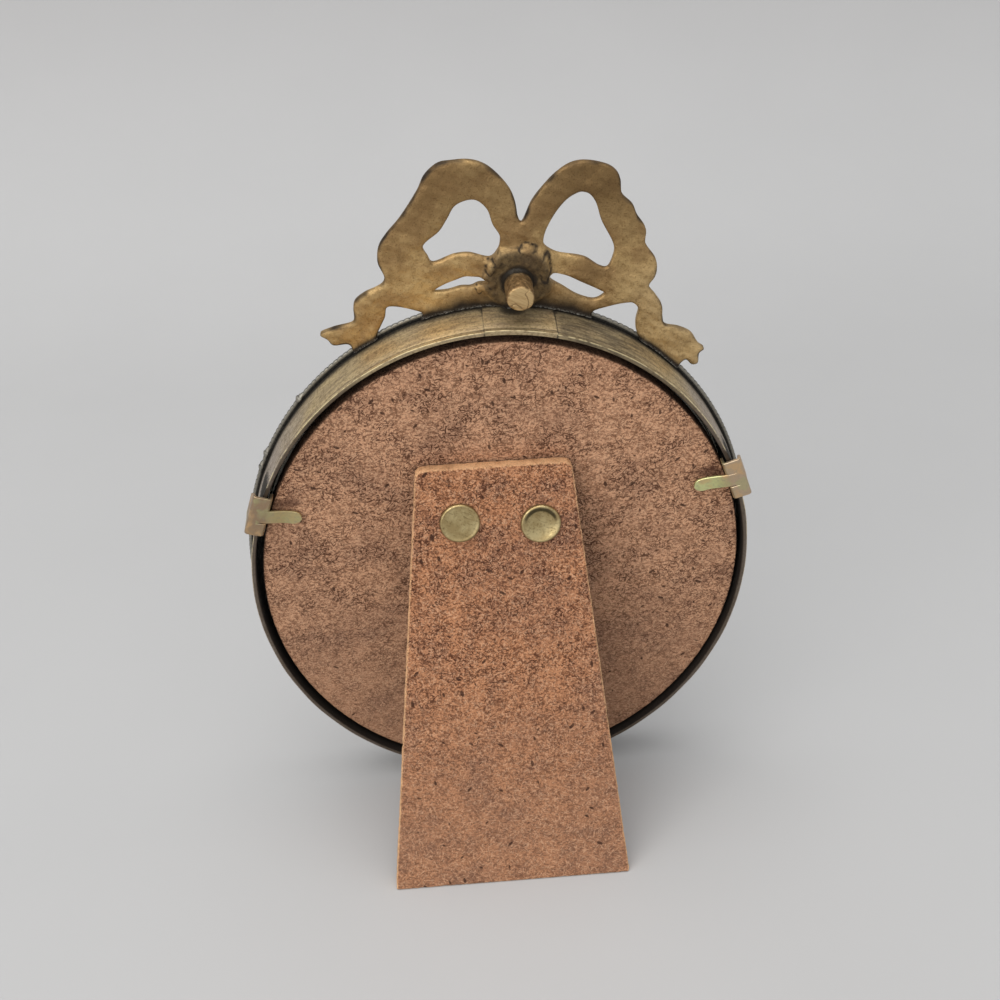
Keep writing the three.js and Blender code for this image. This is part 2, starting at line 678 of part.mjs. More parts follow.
const standing = new THREE.Group();
standing.add(frame);
standing.updateMatrixWorld(true);
const extent = new THREE.Box3().setFromObject(standing, true);
const centre = extent.getCenter(new THREE.Vector3());
standing.position.set(-centre.x, -centre.y, -extent.min.z);

export default standing;
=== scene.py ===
from math import atan2, cos, pi, radians, sin, sqrt, tan

import bpy
import numpy as np
from mathutils import Matrix, Vector
from mathutils.geometry import delaunay_2d_cdt


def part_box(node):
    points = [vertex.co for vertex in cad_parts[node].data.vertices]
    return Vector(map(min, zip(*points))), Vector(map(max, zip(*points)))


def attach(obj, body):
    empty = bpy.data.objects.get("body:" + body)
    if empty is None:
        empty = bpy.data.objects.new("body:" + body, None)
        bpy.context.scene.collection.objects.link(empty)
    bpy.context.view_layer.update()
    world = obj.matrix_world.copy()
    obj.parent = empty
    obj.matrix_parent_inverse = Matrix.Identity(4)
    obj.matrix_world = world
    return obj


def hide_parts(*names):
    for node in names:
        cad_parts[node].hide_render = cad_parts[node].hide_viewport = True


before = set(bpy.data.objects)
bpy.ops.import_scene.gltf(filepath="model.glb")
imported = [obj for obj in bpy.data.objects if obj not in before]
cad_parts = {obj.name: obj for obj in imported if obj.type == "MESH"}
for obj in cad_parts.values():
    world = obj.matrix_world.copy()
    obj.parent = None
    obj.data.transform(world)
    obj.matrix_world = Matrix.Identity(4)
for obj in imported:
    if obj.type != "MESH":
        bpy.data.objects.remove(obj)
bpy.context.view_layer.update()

# Front moulding: a ring pressed from thin brass and gilt, which frames the glass from the front.
# Its outer edge and its slope are rolled with close slanting ribs, as on a rope, and its inner bead is plain.
# It is soldered to the front edge of the rim band, and a few drops of solder stand on its edge.
LEAN = radians(11.5)
HALF_WIDTH, HALF_HEIGHT = 44.9, 55.2
GLASS_BACK, GLASS_THICK = 0.5, 1.6
glass_low, glass_high = (np.array(corner) * 1000 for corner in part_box("glass"))
GLASS_MIDDLE = GLASS_BACK - GLASS_THICK / 2
OVAL_MIDDLE = (glass_low + glass_high) / 2 - GLASS_MIDDLE * np.array([0, cos(LEAN), -sin(LEAN)])
RIBS, RIB_SAMPLES, RIB_DEPTH, RIB_SLANT = 290, 6, 0.24, 1.6
FLANGE_OUT, REBATE_OUT, REBATE_FLOOR = 0.9, -1.5, -1.4
SOLDER_DROPS = ((43.9, 0.40), (29.4, 0.34), (26.1, 0.30))


def leaned(points, turn=LEAN, middle=OVAL_MIDDLE):
    """Points (x, rearward, up) in mm of an upright piece, turned back and set at its middle."""
    x, back, up = np.moveaxis(np.asarray(points, float), -1, 0)
    return np.stack([x, back * cos(turn) + up * sin(turn), up * cos(turn) - back * sin(turn)], -1) + middle


def oval(turn, out):
    """x and up of the oval so far outside the band: each half size plus out, times cosine and sine."""
    return (HALF_WIDTH + out) * np.cos(turn), (HALF_HEIGHT + out) * np.sin(turn)


def even_turns(count, first=0.0, last=2 * pi, closed=True):
    """Turns at equal steps of arc along the band, read back from the summed length of short chords."""
    fine = np.linspace(first, last, 20001)
    x, up = oval(fine, 0)
    run = np.concatenate([[0], np.cumsum(np.hypot(np.diff(x), np.diff(up)))])
    arcs = np.linspace(0, run[-1], count, endpoint=not closed)
    return np.interp(arcs, run, fine), arcs


def quads(rows, columns, round_rows=False, round_columns=False):
    """Four-cornered faces between neighbours of a grid of points, closed round where asked."""
    index = np.arange(rows * columns).reshape(rows, columns)
    index = np.vstack([index, index[:1]]) if round_rows else index
    index = np.hstack([index, index[:, :1]]) if round_columns else index
    return np.stack([index[:-1, :-1], index[1:, :-1], index[1:, 1:], index[:-1, 1:]], -1).reshape(-1, 4)


def outward(points, faces):
    """A closed shell with its faces turned so that the volume summed over its triangles is positive."""
    fans = [part[:, [0, k, k + 1]] for part in faces for k in range(1, part.shape[1] - 1)]
    a, b, c = np.moveaxis(points[np.concatenate(fans)], 1, 0)
    inside_out = np.einsum("ij,ij->", a - points[0], np.cross(b - points[0], c - points[0])) < 0
    return points, [part[:, ::-1] if inside_out else part for part in faces]


def made(name, shells, finish, marks=None, crease=40):
    """A mesh object from shells in mm, with its finish and the marks that the finish reads."""
    starts = np.cumsum([0] + [len(points) for points, _ in shells])
    faces = [row for (_, parts), start in zip(shells, starts)
             for part in parts for row in (part + start).tolist()]
    mesh = bpy.data.meshes.new(name)
    mesh.from_pydata((np.concatenate([points for points, _ in shells]) / 1000).tolist(), [], faces)
    mesh.shade_smooth()
    mesh.set_sharp_from_angle(angle=radians(crease))
    for mark, values in (marks or {}).items():
        kept = mesh.attributes.new(mark, "FLOAT", "POINT")
        kept.data.foreach_set("value", np.ascontiguousarray(values, np.float32))
    mesh.materials.append(finish.material)
    piece = bpy.data.objects.new(name, mesh)
    bpy.context.scene.collection.objects.link(piece)
    return piece


def put(name, shells, finish, body, nodes, marks=None, crease=40):
    """A mesh object that rides on a body and stands for CAD nodes."""
    piece = made(name, shells, finish, marks, crease)
    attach(piece, body)
    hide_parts(*nodes)


class Tone:
    """A value or a colour in a finish: arithmetic adds Math nodes, and a coat mixes a colour over it."""

    def __init__(self, finish, socket):
        self.finish, self.socket = finish, socket

    def sum(self, operation, first, second):
        return self.finish.node("Math", {"operation": operation}, {0: first, 1: second})

    def __add__(self, other):
        return self.sum("ADD", self, other)

    def __mul__(self, other):
        return self.sum("MULTIPLY", self, other)

    __radd__, __rmul__ = __add__, __mul__

    def __sub__(self, other):
        return self.sum("SUBTRACT", self, other)

    def __rsub__(self, other):
        return self.sum("SUBTRACT", other, self)

    def most(self, other):
        return self.sum("MAXIMUM", self, other)

    def from_to(self, low, high):
        """0 below low and 1 above high, eased between; high may be the smaller."""
        ends = {0: self, 1: min(low, high), 2: max(low, high)}
        eased = self.finish.node("MapRange", {"interpolation_type": "SMOOTHSTEP"}, ends)
        return 1 - eased if high < low else eased

    def coat(self, share, colour):
        return self.finish.blend(share, self, colour)

    def deepened(self, share, colour):
        return self.finish.blend(share, self, colour, "MULTIPLY")


def shade(red, green, blue):
    """A colour seen on a screen, 0 to 255, as the linear colour that shaders take."""
    seen = np.array([red, green, blue]) / 255
    linear = np.where(seen <= 0.04045, seen / 12.92, ((seen + 0.055) / 1.055) ** 2.4)
    return (*linear.tolist(), 1.0)


class Finish:
    """A material whose pattern is laid out in mm in a piece's own upright frame."""

    def __init__(self, name, turn=LEAN, middle=OVAL_MIDDLE):
        self.material = bpy.data.materials.new(name)
        self.material.use_nodes = True
        self.tree = self.material.node_tree
        x, back, up = middle
        start = (-x, up * sin(turn) - back * cos(turn), -back * sin(turn) - up * cos(turn))
        place = {"Location": start, "Rotation": (turn, 0, 0), "Scale": (1000, 1000, 1000)}
        self.spot = self.node("Mapping", {}, {"Vector": self.node("TexCoord", {}, {}, "Object"), **place})
        split = self.node("SeparateXYZ", {}, {0: self.spot}).socket.node
        self.x, self.back, self.up = (Tone(self, socket) for socket in split.outputs)

    def feed(self, sockets, inputs):
        """Sets the sockets, or links those that are given a tone."""
        for key, value in inputs.items():
            if isinstance(value, Tone):
                self.tree.links.new(value.socket, sockets[key])
            else:
                sockets[key].default_value = value

    def node(self, kind, settings, inputs, out=0):
        """A node of that kind, its settings made first, then its sockets fed; gives one of its outputs."""
        made_node = self.tree.nodes.new("ShaderNode" + kind)
        for key, value in settings.items():
            setattr(made_node, key, value)
        self.feed(made_node.inputs, inputs)
        return Tone(self, made_node.outputs[out])

    def mark(self, name):
        return self.node("Attribute", {"attribute_name": name}, {}, "Fac")

    def turned(self, angle, stretch, spot=None):
        """The piece's mm turned by an angle about the rearward axis and then drawn out by stretch."""
        level = self.node("Mapping", {}, {"Vector": spot or self.spot, "Rotation": (0, angle, 0)})
        return self.node("VectorMath", {"operation": "MULTIPLY"}, {0: level, 1: stretch})

    def noise(self, scale, detail=2.0, rough=0.5, spot=None, warp=0.0):
        return self.node("TexNoise", {}, {"Vector": spot or self.spot, "Scale": scale, "Detail": detail,
                                          "Roughness": rough, "Distortion": warp})

    def cells(self, scale, spot=None, out="Distance"):
        return self.node("TexVoronoi", {}, {"Vector": spot or self.spot, "Scale": scale}, out)

    def blend(self, share, first, second, how="MIX"):
        """A share of the second colour over the first; each is a tone, or red, green and blue, 0 to 255."""
        first, second = (tint if isinstance(tint, Tone) else shade(*tint) for tint in (first, second))
        return self.node("Mix", {"data_type": "RGBA", "blend_type": how}, {0: share, 6: first, 7: second}, 2)

    def raised(self, height, depth):
        """A bump of that depth in mm where height goes from 0 to 1."""
        return self.node("Bump", {}, {"Height": height, "Distance": depth / 1000, "Strength": 1.0})

    def wear(self, **inputs):
        """Feeds the shader's sockets, named with _ for a space."""
        sockets = self.tree.nodes["Principled BSDF"].inputs
        self.feed(sockets, {key.replace("_", " "): value for key, value in inputs.items()})
        return self


def moulding_profile():
    """Rows of (out, rearward, share of the ribs, slant, grime and shade): back face, thin edge, slope that
    rises as a parabola, hollow, half-round bead, sight edge, and the rebate that the glass lies in."""
    s = np.linspace(0, 1, 15)[:, None]
    half_turn = np.linspace(0, pi, 9)[:, None]
    flat = [[REBATE_OUT, 0, 0, 0, 1], [0.1, 0, 0, 0, 1], [0.36, 0, 0, 0, 0.9], [0.5, 0, 0.12, 0, 0.5],
            [0.7, 0, 0.2, 0, 0.45], [FLANGE_OUT, -0.12, 0.4, 0, 0.5]]
    slope = np.hstack([FLANGE_OUT - 4 * s, -0.4 - 2.2 * (1 - (1 - s) ** 2), 0.6 + 0.4 * s - s ** 4, s,
                       0.75 - 1.7 * s])
    hollow = [[-3.2, -2.4, 0, 1, 0.5], [-3.4, -2.1, 0, 1, 0.9], [-3.8, -2.0, 0, 1, 0.7]]
    bead = np.hstack([-4.5 - 0.8 * (1 - np.cos(half_turn)), -2 - 0.6 * np.sin(half_turn),
                      half_turn * 0, half_turn * 0, 0.5 - 0.5 * np.sin(half_turn)])
    rebate = [[-6.1, -1.5, 0, 0, 0.6], [-6.0, REBATE_FLOOR, 0, 0, 1], [REBATE_OUT, REBATE_FLOOR, 0, 0, 1]]
    return np.vstack([flat, slope, hollow, bead, rebate])


def ribbed_ring():
    """The profile carried round the oval. Between two ribs it sinks by one less a root of the sine of the
    rib's phase, which the slant carries along the slope. Each drop of solder is a bell curve."""
    out, back, share, slant, dirt_and_shade = moulding_profile().T[:, None, :]
    turn = even_turns(RIBS * RIB_SAMPLES)[0][:, None]
    rib = np.arange(RIBS * RIB_SAMPLES)[:, None] / RIB_SAMPLES
    uneven = 1 + 0.25 * np.sin(rib * 1.7) * np.sin(rib * 0.31 + 1)
    groove = share * uneven * (1 - np.abs(np.sin(pi * (rib + RIB_SLANT * slant))) ** 0.6)
    drops = sum(size * np.exp(-((np.degrees(turn) - place) / 0.75) ** 2) for place, size in SOLDER_DROPS)
    x, up = oval(turn, out - RIB_DEPTH * groove + drops * (share > 0.3) * (slant < 0.3))
    rear = back + 0.8 * RIB_DEPTH * groove * (slant > 0) + drops * (back >= 0) * (share > 0)
    points = leaned(np.stack([x, rear + 0 * turn, up], -1).reshape(-1, 3))
    grime_and_shade = np.clip(groove * 0.9 + np.maximum(dirt_and_shade, 0), 0, 1) + 0 * turn
    faces = quads(len(turn), out.shape[1], round_rows=True, round_columns=True)
    return outward(points, [faces]), grime_and_shade.ravel()


gilt = Finish("gilt_brass")
smudge_and_shadow = gilt.noise(0.35, 4, 0.6)
speck = gilt.noise(2.6, 3, 0.6)
# Grime darkens the rib grooves and the flange's back face; beside the band it is also painted shade.
grime_and_shade = (gilt.mark("grime_and_shade") * (0.62 + 0.6 * speck)).most(smudge_and_shadow.from_to(0.56, 0.72) * 0.5)
gold = gilt.blend(speck.from_to(0.35, 0.7), (184, 150, 96), (222, 192, 134))
gold = gold.coat(grime_and_shade.from_to(0.15, 0.45), (146, 142, 132)).coat(grime_and_shade.from_to(0.4, 0.95), (40, 38, 35))
gilt.wear(Base_Color=gold, Metallic=1 - 0.35 * grime_and_shade, Roughness=0.3 + 0.25 * grime_and_shade + 0.12 * speck,
          Normal=gilt.raised(speck * 0.6 + smudge_and_shadow, 0.05))

ring, ring_grime_and_shade = ribbed_ring()
put("ribbed_moulding", [ring], gilt, "frame", ["front_moulding"],
    {"grime_and_shade": ring_grime_and_shade}, crease=60)

# Rim band: a flat brass strip bent into the deep wall of the oval, its two ends butted at the top.
# A short strap of the same strip is soldered over the butt. A fine line is scribed near the rear edge, whose
# corner carries a painted highlight, brightest towards the top. Lower down the sides the gold turns to a
# painted pale grey reflection of the room, the rear face and inner wall carry painted shade, and the brass
# has gone brown in places.
BAND_FRONT, BAND_BACK, BAND_WALL = 0.3, 7.6, 0.7
SCRIBE_BACK, SCRIBE_DEPTH = 6.7, 0.05
STRAP_LENGTH, STRAP_OUT, STRAP_ARC, BLOTCH_LENGTH = 11.6, 0.2, 400, 2.8
BAND_STEPS, STRAP_STEPS = 900, 90
CLIP_LENGTH = 8.7
CLIPS = (("left", radians(21.6)), ("right", pi - radians(23.3)))
BOW_TURN = radians(4)


def band_profile(outer):
    """Rows of (out, rearward, grime and shade, painted shade, painted glint): the outer wall from front to
    rear, its rear corner, the rear face and the inner wall. Grime lies by the flange and in the scribed line,
    and on the inner wall the same column deepens the painted shade to near black; the rear face and inner
    wall carry painted shade, and the corner a painted highlight."""
    wall = [[0, BAND_FRONT, 1.0], [0, BAND_FRONT + 0.35, 1.0], [0, BAND_FRONT + 0.9, 0.62], [0, 2.0, 0.3],
            [0, 3.0, 0.1], [0, 4.4, 0.0], [0, SCRIBE_BACK - 0.14, 0.1], [-SCRIBE_DEPTH, SCRIBE_BACK, 0.75],
            [0, SCRIBE_BACK + 0.14, 0.1], [0, BAND_BACK - 0.42, 0.12], [0.03, BAND_BACK - 0.26, 0.05]]
    corner = [[0.07, BAND_BACK - 0.12, 0.0, 0, 0.5], [0.05, BAND_BACK - 0.03, 0.0, 0, 1],
              [-0.01, BAND_BACK, 0.1, 0.3, 0.6], [-0.12, BAND_BACK, 0.2, 0.9, 0]]
    inner = [[-BAND_WALL + 0.14, BAND_BACK, 0.3, 0.95, 0], [-BAND_WALL, BAND_BACK - 0.14, 0.8, 1, 0],
             [-BAND_WALL, 5.5, 1.0, 1, 0], [-BAND_WALL, BAND_FRONT, 1.0, 1, 0]]
    return np.vstack([np.vstack([[row + [0, 0] for row in wall], corner]) + [outer, 0, 0, 0, 0], inner])


def bent_strip(first, last, count, profile, seam):
    """The profile carried along the oval from one turn to another and capped at both ends, its wall wavering
    as a product of sines and worn flat where it stands on the table. Kept for the finish: each point's arc
    and girth, the grime and shade, the painted shade and the painted glint, and a dark blotch under each clip
    and up the wall from it. Seam says how far in mm grime also reaches from the two ends, then how much lies
    at the first and at the last."""
    turn, arcs = even_turns(count, first, last, closed=False)
    out, back, grime_and_shade, painted_shade, painted_glint = profile.T[:, None, :]
    girth = np.concatenate([[0], np.cumsum(np.hypot(np.diff(out[0]), np.diff(back[0])))])
    waver = 0.035 * np.sin(arcs / 7.3) * np.sin(arcs / 3.1 + 2) + 0.02 * np.sin(arcs / 1.7)
    x, up = oval(turn[:, None], out + waver[:, None] * (out > -0.3))
    points = leaned(np.stack([x, back + 0 * x, up], -1).reshape(-1, 3))
    points[:, 2] = np.maximum(points[:, 2], 0)
    columns = out.shape[1]
    caps = np.stack([np.arange(columns), np.arange(columns) + (count - 1) * columns])
    ends = np.exp(-arcs / seam[0]) * seam[1] + np.exp(-(arcs[-1] - arcs) / seam[0]) * seam[2]
    spread = np.ones((count, 1))
    blotch = 0 * arcs
    for _, place in CLIPS:
        clip_x, clip_up = oval(place, 0)
        above = np.hypot(x[:, 0] - clip_x, up[:, 0] - clip_up) * np.sign(up[:, 0] - clip_up)
        under = np.clip(above / CLIP_LENGTH + 0.5, 0, 1)
        blotch = blotch + under * np.clip(1 - (above - CLIP_LENGTH / 2) / (2 * BLOTCH_LENGTH), 0, 1)
    blotch = blotch[:, None] * (out > 0.1 - BAND_WALL) * np.clip((back - 1.0) / 2.5, 0, 1)
    marks = {"grime_and_shade": np.clip(grime_and_shade + ends[:, None], 0, 1), "painted_shade": spread * painted_shade, "painted_glint": spread * painted_glint,
             "arc": arcs[:, None] + 0 * grime_and_shade, "girth": spread * girth, "blotch": blotch,
             "rear": spread * (back > BAND_BACK - 0.1)}
    shell = outward(points, [quads(count, columns, round_columns=True), caps[:1], caps[1:, ::-1]])
    return shell, {key: value.ravel() for key, value in marks.items()}


worn = Finish("worn_brass")
strip_spot = worn.node("CombineXYZ", {}, {0: worn.mark("arc"), 1: worn.mark("girth")})
streak = worn.noise(1.0, 4, 0.65, worn.turned(0, (0.22, 1.5, 1), strip_spot))
dashes = worn.noise(1.0, 2, 0.5, worn.turned(0, (0.9, 0.2, 1), strip_spot))
cloud = worn.noise(0.11, 4, 0.6)
fleck = worn.noise(2.2, 4, 0.7)
# Gold towards the top; lower down the sides the colour turns to a painted pale grey reflection of the room.
gold_over_reflection = (worn.up.from_to(24, 48) * 0.6 + cloud * 0.7).from_to(0.4, 0.85)
brass = worn.blend(gold_over_reflection, (190, 178, 165), (214, 193, 151))
brass = brass.coat(streak.from_to(0.4, 0.66) * 0.6, (152, 133, 112))
brass = brass.deepened(fleck.from_to(0.44, 0.66) * 0.6, (158, 150, 138))
patina = 0.6 * worn.x.from_to(-8, -11) * worn.x.from_to(-33, -19) * worn.up.from_to(20, 36)
patina = patina * (0.3 + 1.4 * streak)
# A painted shadow and dark reflection of the stud on top of the strap: a round spot below it and a wider
# smear.
stud_shadow_x, stud_shadow_back = (worn.x + 2.8) * 0.36, (worn.back - 1.8) * 0.5
smudge_and_shadow = (stud_shadow_x * stud_shadow_x + stud_shadow_back * stud_shadow_back).from_to(1.5, 0.0)
stud_shadow_smear = (stud_shadow_x * stud_shadow_x * 0.16 + stud_shadow_back * stud_shadow_back * 0.4).from_to(1.3, 0.2) * (0.2 + streak)
# A dark blotch under each clip and up the wall above it, mottled by the streaks and flecks.
blotched = (worn.mark("blotch") + 0.7 * (streak - 0.5) + 0.7 * (fleck - 0.5)).from_to(0.25, 0.8)
tarnish_and_shadow = (worn.mark("grime_and_shade") * (0.7 + 0.5 * fleck)).most(patina)
tarnish_and_shadow = tarnish_and_shadow.most((smudge_and_shadow * 0.9).most(stud_shadow_smear * 0.65) * worn.up.from_to(40, 50)).most(blotched)
# A painted highlight in dashes along the rear corner, strongest towards the top and none on the blotches.
painted_glint = worn.mark("painted_glint") * worn.up.from_to(-20, 30) * dashes.from_to(0.38, 0.54) * (1 - blotched)
brass = brass.coat(tarnish_and_shadow.from_to(0.1, 1.0), (48, 43, 36))
brass = brass.coat(painted_glint * (0.95 - 0.5 * patina), (246, 230, 184))
# Painted shade on the rear face and inner wall, left off the rear face towards the top, where it is lit;
# where the grime and shade column is high, on the inner wall, the shade is painted nearly black.
painted_shade = worn.mark("painted_shade") * (1 - 0.75 * worn.up.from_to(44, 52) * worn.mark("rear"))
painted_shade_tone = worn.blend(worn.mark("grime_and_shade").from_to(0.35, 0.75), (60, 46, 31), (22, 16, 11))
brass = brass.coat(painted_shade * (0.82 + 0.2 * cloud), painted_shade_tone)
worn.wear(Base_Color=brass, Metallic=(1 - 0.35 * tarnish_and_shadow) * (1 - 0.7 * painted_shade),
          Roughness=(0.46 + 0.16 * tarnish_and_shadow + 0.12 * fleck).most(painted_shade * 0.6),
          Normal=worn.raised(streak * 0.5 + fleck * 0.5, 0.05))

top_turn = pi / 2 + BOW_TURN * HALF_HEIGHT / HALF_WIDTH
strap_half = STRAP_LENGTH / 2 / HALF_WIDTH
band, band_marks = bent_strip(top_turn - 2 * pi + strap_half, top_turn - strap_half, BAND_STEPS,
                              band_profile(0.0), seam=(0.25, 1.0, 0.6))
put("bent_band", [band], worn, "frame", ["rim_band"], band_marks)
strap, strap_marks = bent_strip(top_turn - strap_half, top_turn + strap_half, STRAP_STEPS,
                                band_profile(STRAP_OUT), seam=(0.12, 0.35, 0.8))
strap_marks["arc"] = strap_marks["arc"] + STRAP_ARC
put("soldered_strap", [strap], worn, "frame", ["band_splice"], strap_marks)

# Glass: a sheet of window glass cut to the oval by hand, its edge ground dull.
# It lies loose in the moulding's rebate, and the cards behind press it forward.
POCKET_OUT = -1.9


def normals(line):
    """Unit normals of a closed line, square to the chord between each point's two neighbours."""
    along = np.roll(line, -1, 0) - np.roll(line, 1, 0)
    return np.stack([-along[:, 1], along[:, 0]], -1) / np.linalg.norm(along, axis=1)[:, None]


def fan(pole, ring):
    """Triangles from a pole to each step of a closed ring of point numbers."""
    return np.stack([ring * 0 + pole, ring, np.roll(ring, -1)], -1)


def slab(outline, front, back, roll, fray=0.0, seed=1):
    """A plate inside a closed outline of (x, up): rings from the front face over a rolled edge to the back
    face, drawn in along the normals over the roll and then towards the middle, which is a fan. Fray moves the
    edge by a seeded ragged amount. Gives the points, the faces and the nearness to the edge."""
    count = len(outline)
    middle = outline.mean(0)
    inward = normals(outline)
    inward = inward * np.sign(np.einsum("ij,ij->i", inward, middle - outline))[:, None]
    bend = np.radians([0, 30, 60, 90])
    face_inset, rolled = [2.4, 1.0, roll + 0.3], 1 - np.sin(bend)
    inset = np.concatenate([face_inset, roll * rolled, roll * rolled[::-1], face_inset[::-1]])
    dip = roll * (1 - np.cos(bend))
    depth = np.concatenate([[front] * 3, front + dip, back - dip[::-1], [back] * 3])
    ragged = np.random.default_rng(seed).normal(size=(len(inset), count))
    ragged = fray * (ragged + np.roll(ragged, 1, 1) + np.roll(ragged, -1, 1)) * (inset < roll * 0.9)[:, None]
    rings = outline + inward * (np.minimum(inset, roll)[:, None] + np.abs(ragged))[..., None]
    half_size = np.ptp(outline, axis=0) / 2
    rings = middle + (rings - middle) * (1 - np.maximum(inset - roll, 0)[:, None, None] / half_size)
    points = np.stack([rings[..., 0], depth[:, None] + 0 * ragged, rings[..., 1]], -1).reshape(-1, 3)
    points = np.vstack([points, [[middle[0], front, middle[1]], [middle[0], back, middle[1]]]])
    ring, last = np.arange(count), (len(inset) - 1) * count
    fans = np.vstack([fan(len(points) - 2, ring), fan(len(points) - 1, last + ring)[:, [0, 2, 1]]])
    near = np.append(np.repeat(np.exp(-inset / 0.45), count), [0, 0])
    return points, [quads(len(inset), count, round_columns=True)[:, ::-1], fans], near


def pocket_sheet(name, finish, node, front, back, roll, fray=0.0, seed=1, count=300):
    """A plate that fills the pocket's oval."""
    turn, _ = even_turns(count)
    points, faces, _ = slab(np.stack(oval(turn, POCKET_OUT), -1), front, back, roll, fray, seed)
    put(name, [outward(leaned(points), faces)], finish, "frame", [node])


clear = Finish("window_glass")
dust = clear.noise(0.5, 5, 0.7)
clear.wear(Base_Color=(0.96, 0.985, 0.97, 1), Transmission_Weight=1.0, IOR=1.5,
           Roughness=0.015 + 0.05 * dust.from_to(0.55, 0.8))
pocket_sheet("glass_pane", clear, "glass", GLASS_BACK - GLASS_THICK, GLASS_BACK, roll=0.15)

# Picture card: a plain cream card, cut to the oval, in the place of a photograph.
# It has yellowed, with a few brown spots, and lies loose behind the glass.
CARD_FRONT, CARD_BACK = 0.8, 1.2
paper = Finish("cream_paper")
tooth = paper.noise(6, 4, 0.6)
age = paper.noise(0.06, 4, 0.6)
foxing = paper.cells(0.16).from_to(0.2, 0.05) * paper.noise(0.3, 3).from_to(0.5, 0.7)
cream = paper.blend(age.from_to(0.35, 0.7), (236, 228, 208), (222, 208, 180))
paper.wear(Base_Color=cream.coat(foxing * 0.5, (186, 150, 104)), Roughness=0.75 + 0.15 * tooth,
           Normal=paper.raised(tooth, 0.02))
pocket_sheet("cream_card", paper, "picture_card", CARD_FRONT, CARD_BACK, roll=0.05)

# Packing card: a thick grey card of coarse pulp, cut to the oval with a rough edge.
# It fills the pocket between the picture card and the back board, and presses the glass forward.
PACKING_FRONT, PACKING_BACK = 1.5, 3.0
packing = Finish("grey_packing_card")
pulp = packing.noise(3.5, 5, 0.65)
hair = packing.noise(1.0, 2, 0.5, packing.turned(0.6, (0.5, 1, 4)))
grey = packing.blend(pulp.from_to(0.3, 0.7), (146, 140, 130), (176, 170, 158))
grey = grey.deepened(hair.from_to(0.6, 0.72) * 0.4, (110, 100, 90))
packing.wear(Base_Color=grey, Roughness=0.9 + 0.08 * pulp, Normal=packing.raised(pulp, 0.05))
pocket_sheet("packing_card", packing, "filler_card", PACKING_FRONT, PACKING_BACK,
             roll=0.1, fray=0.02, seed=4, count=400)

# Bow crest: a ribbon bow cast in brass in an open mould, so its front is modelled and its back nearly flat.
# Its skin is pitted and brown in the hollows, and a broken dark line along its outer edges is painted shade
# of their thickness.
# It is halved over the moulding's flange at the top of the oval and soldered to the band.
RIM_TOP = HALF_HEIGHT + FLANGE_OUT
BOW_BACK = 0.8
STUD_PLACE, BOSS_PLACE, BOSS_RADIUS, BOSS_HEIGHT = (0.4, 4.4), (0.4, 4.6), 5.5, 0.9
BOSS_LUMPS = ((-1.2, 5.6, 0.45, 1.2, 0.75), (3.4, 3.9, 0.4, 0.7, 1.0), (4.5, 2.4, 0.4, 0.6, 1.3),
              (-4.3, 2.2, 0.5, 0.75, 2.2), (3.9, -0.8, 0.25, 0.6, 0.7), (6.0, -1.8, 0.25, 0.45, 1.0))
BOW_GRID, BOW_STEP, BOW_FOOT, EDGE_ROWS = 0.42, 0.35, 0.25, (0.26, 0.55)
BOW_OUTLINE = (
    (-26.4, -15.0), (-28.4, -12.1), (-29.0, -11.6), (-30.2, -12.6), (-31.1, -12.4), (-31.1, -10.3),
    (-31.8, -9.4), (-30.7, -8.5), (-29.1, -6.3), (-26.9, -5.2), (-24.5, -4.6), (-23.9, -3.0), (-23.5, -0.8),
    (-22.3, 1.0), (-20.9, 2.9), (-21.6, 4.5), (-21.8, 5.8), (-21.4, 7.8), (-19.9, 9.8), (-19.3, 10.9),
    (-19.1, 13.3), (-17.5, 15.6), (-16.6, 17.4), (-14.7, 19.3), (-14.1, 22.0), (-13.4, 23.1), (-12.1, 24.0),
    (-8.4, 24.7), (-6.3, 24.2), (-4.2, 22.5), (-2.4, 20.2), (-1.0, 17.9), (0.4, 14.2), (0.9, 15.0),
    (1.5, 17.6), (2.5, 19.9), (4.9, 22.7), (6.7, 24.0), (8.8, 24.6), (11.6, 24.4), (13.4, 24.0),
    (15.4, 22.0), (16.4, 19.5), (19.1, 14.6), (21.0, 12.0), (22.1, 10.0), (22.4, 8.3), (22.3, 6.9),
    (21.3, 4.4), (21.5, 3.2), (22.6, 2.3), (24.3, 1.4), (25.9, -0.1), (26.2, -1.3), (26.1, -3.4),
    (26.3, -4.2), (29.5, -5.3), (31.6, -6.5), (30.4, -7.5), (29.6, -8.5), (27.0, -8.4), (26.2, -10.0),
    (24.4, -13.0), (14.0, -8.0), (-11.0, -8.0))
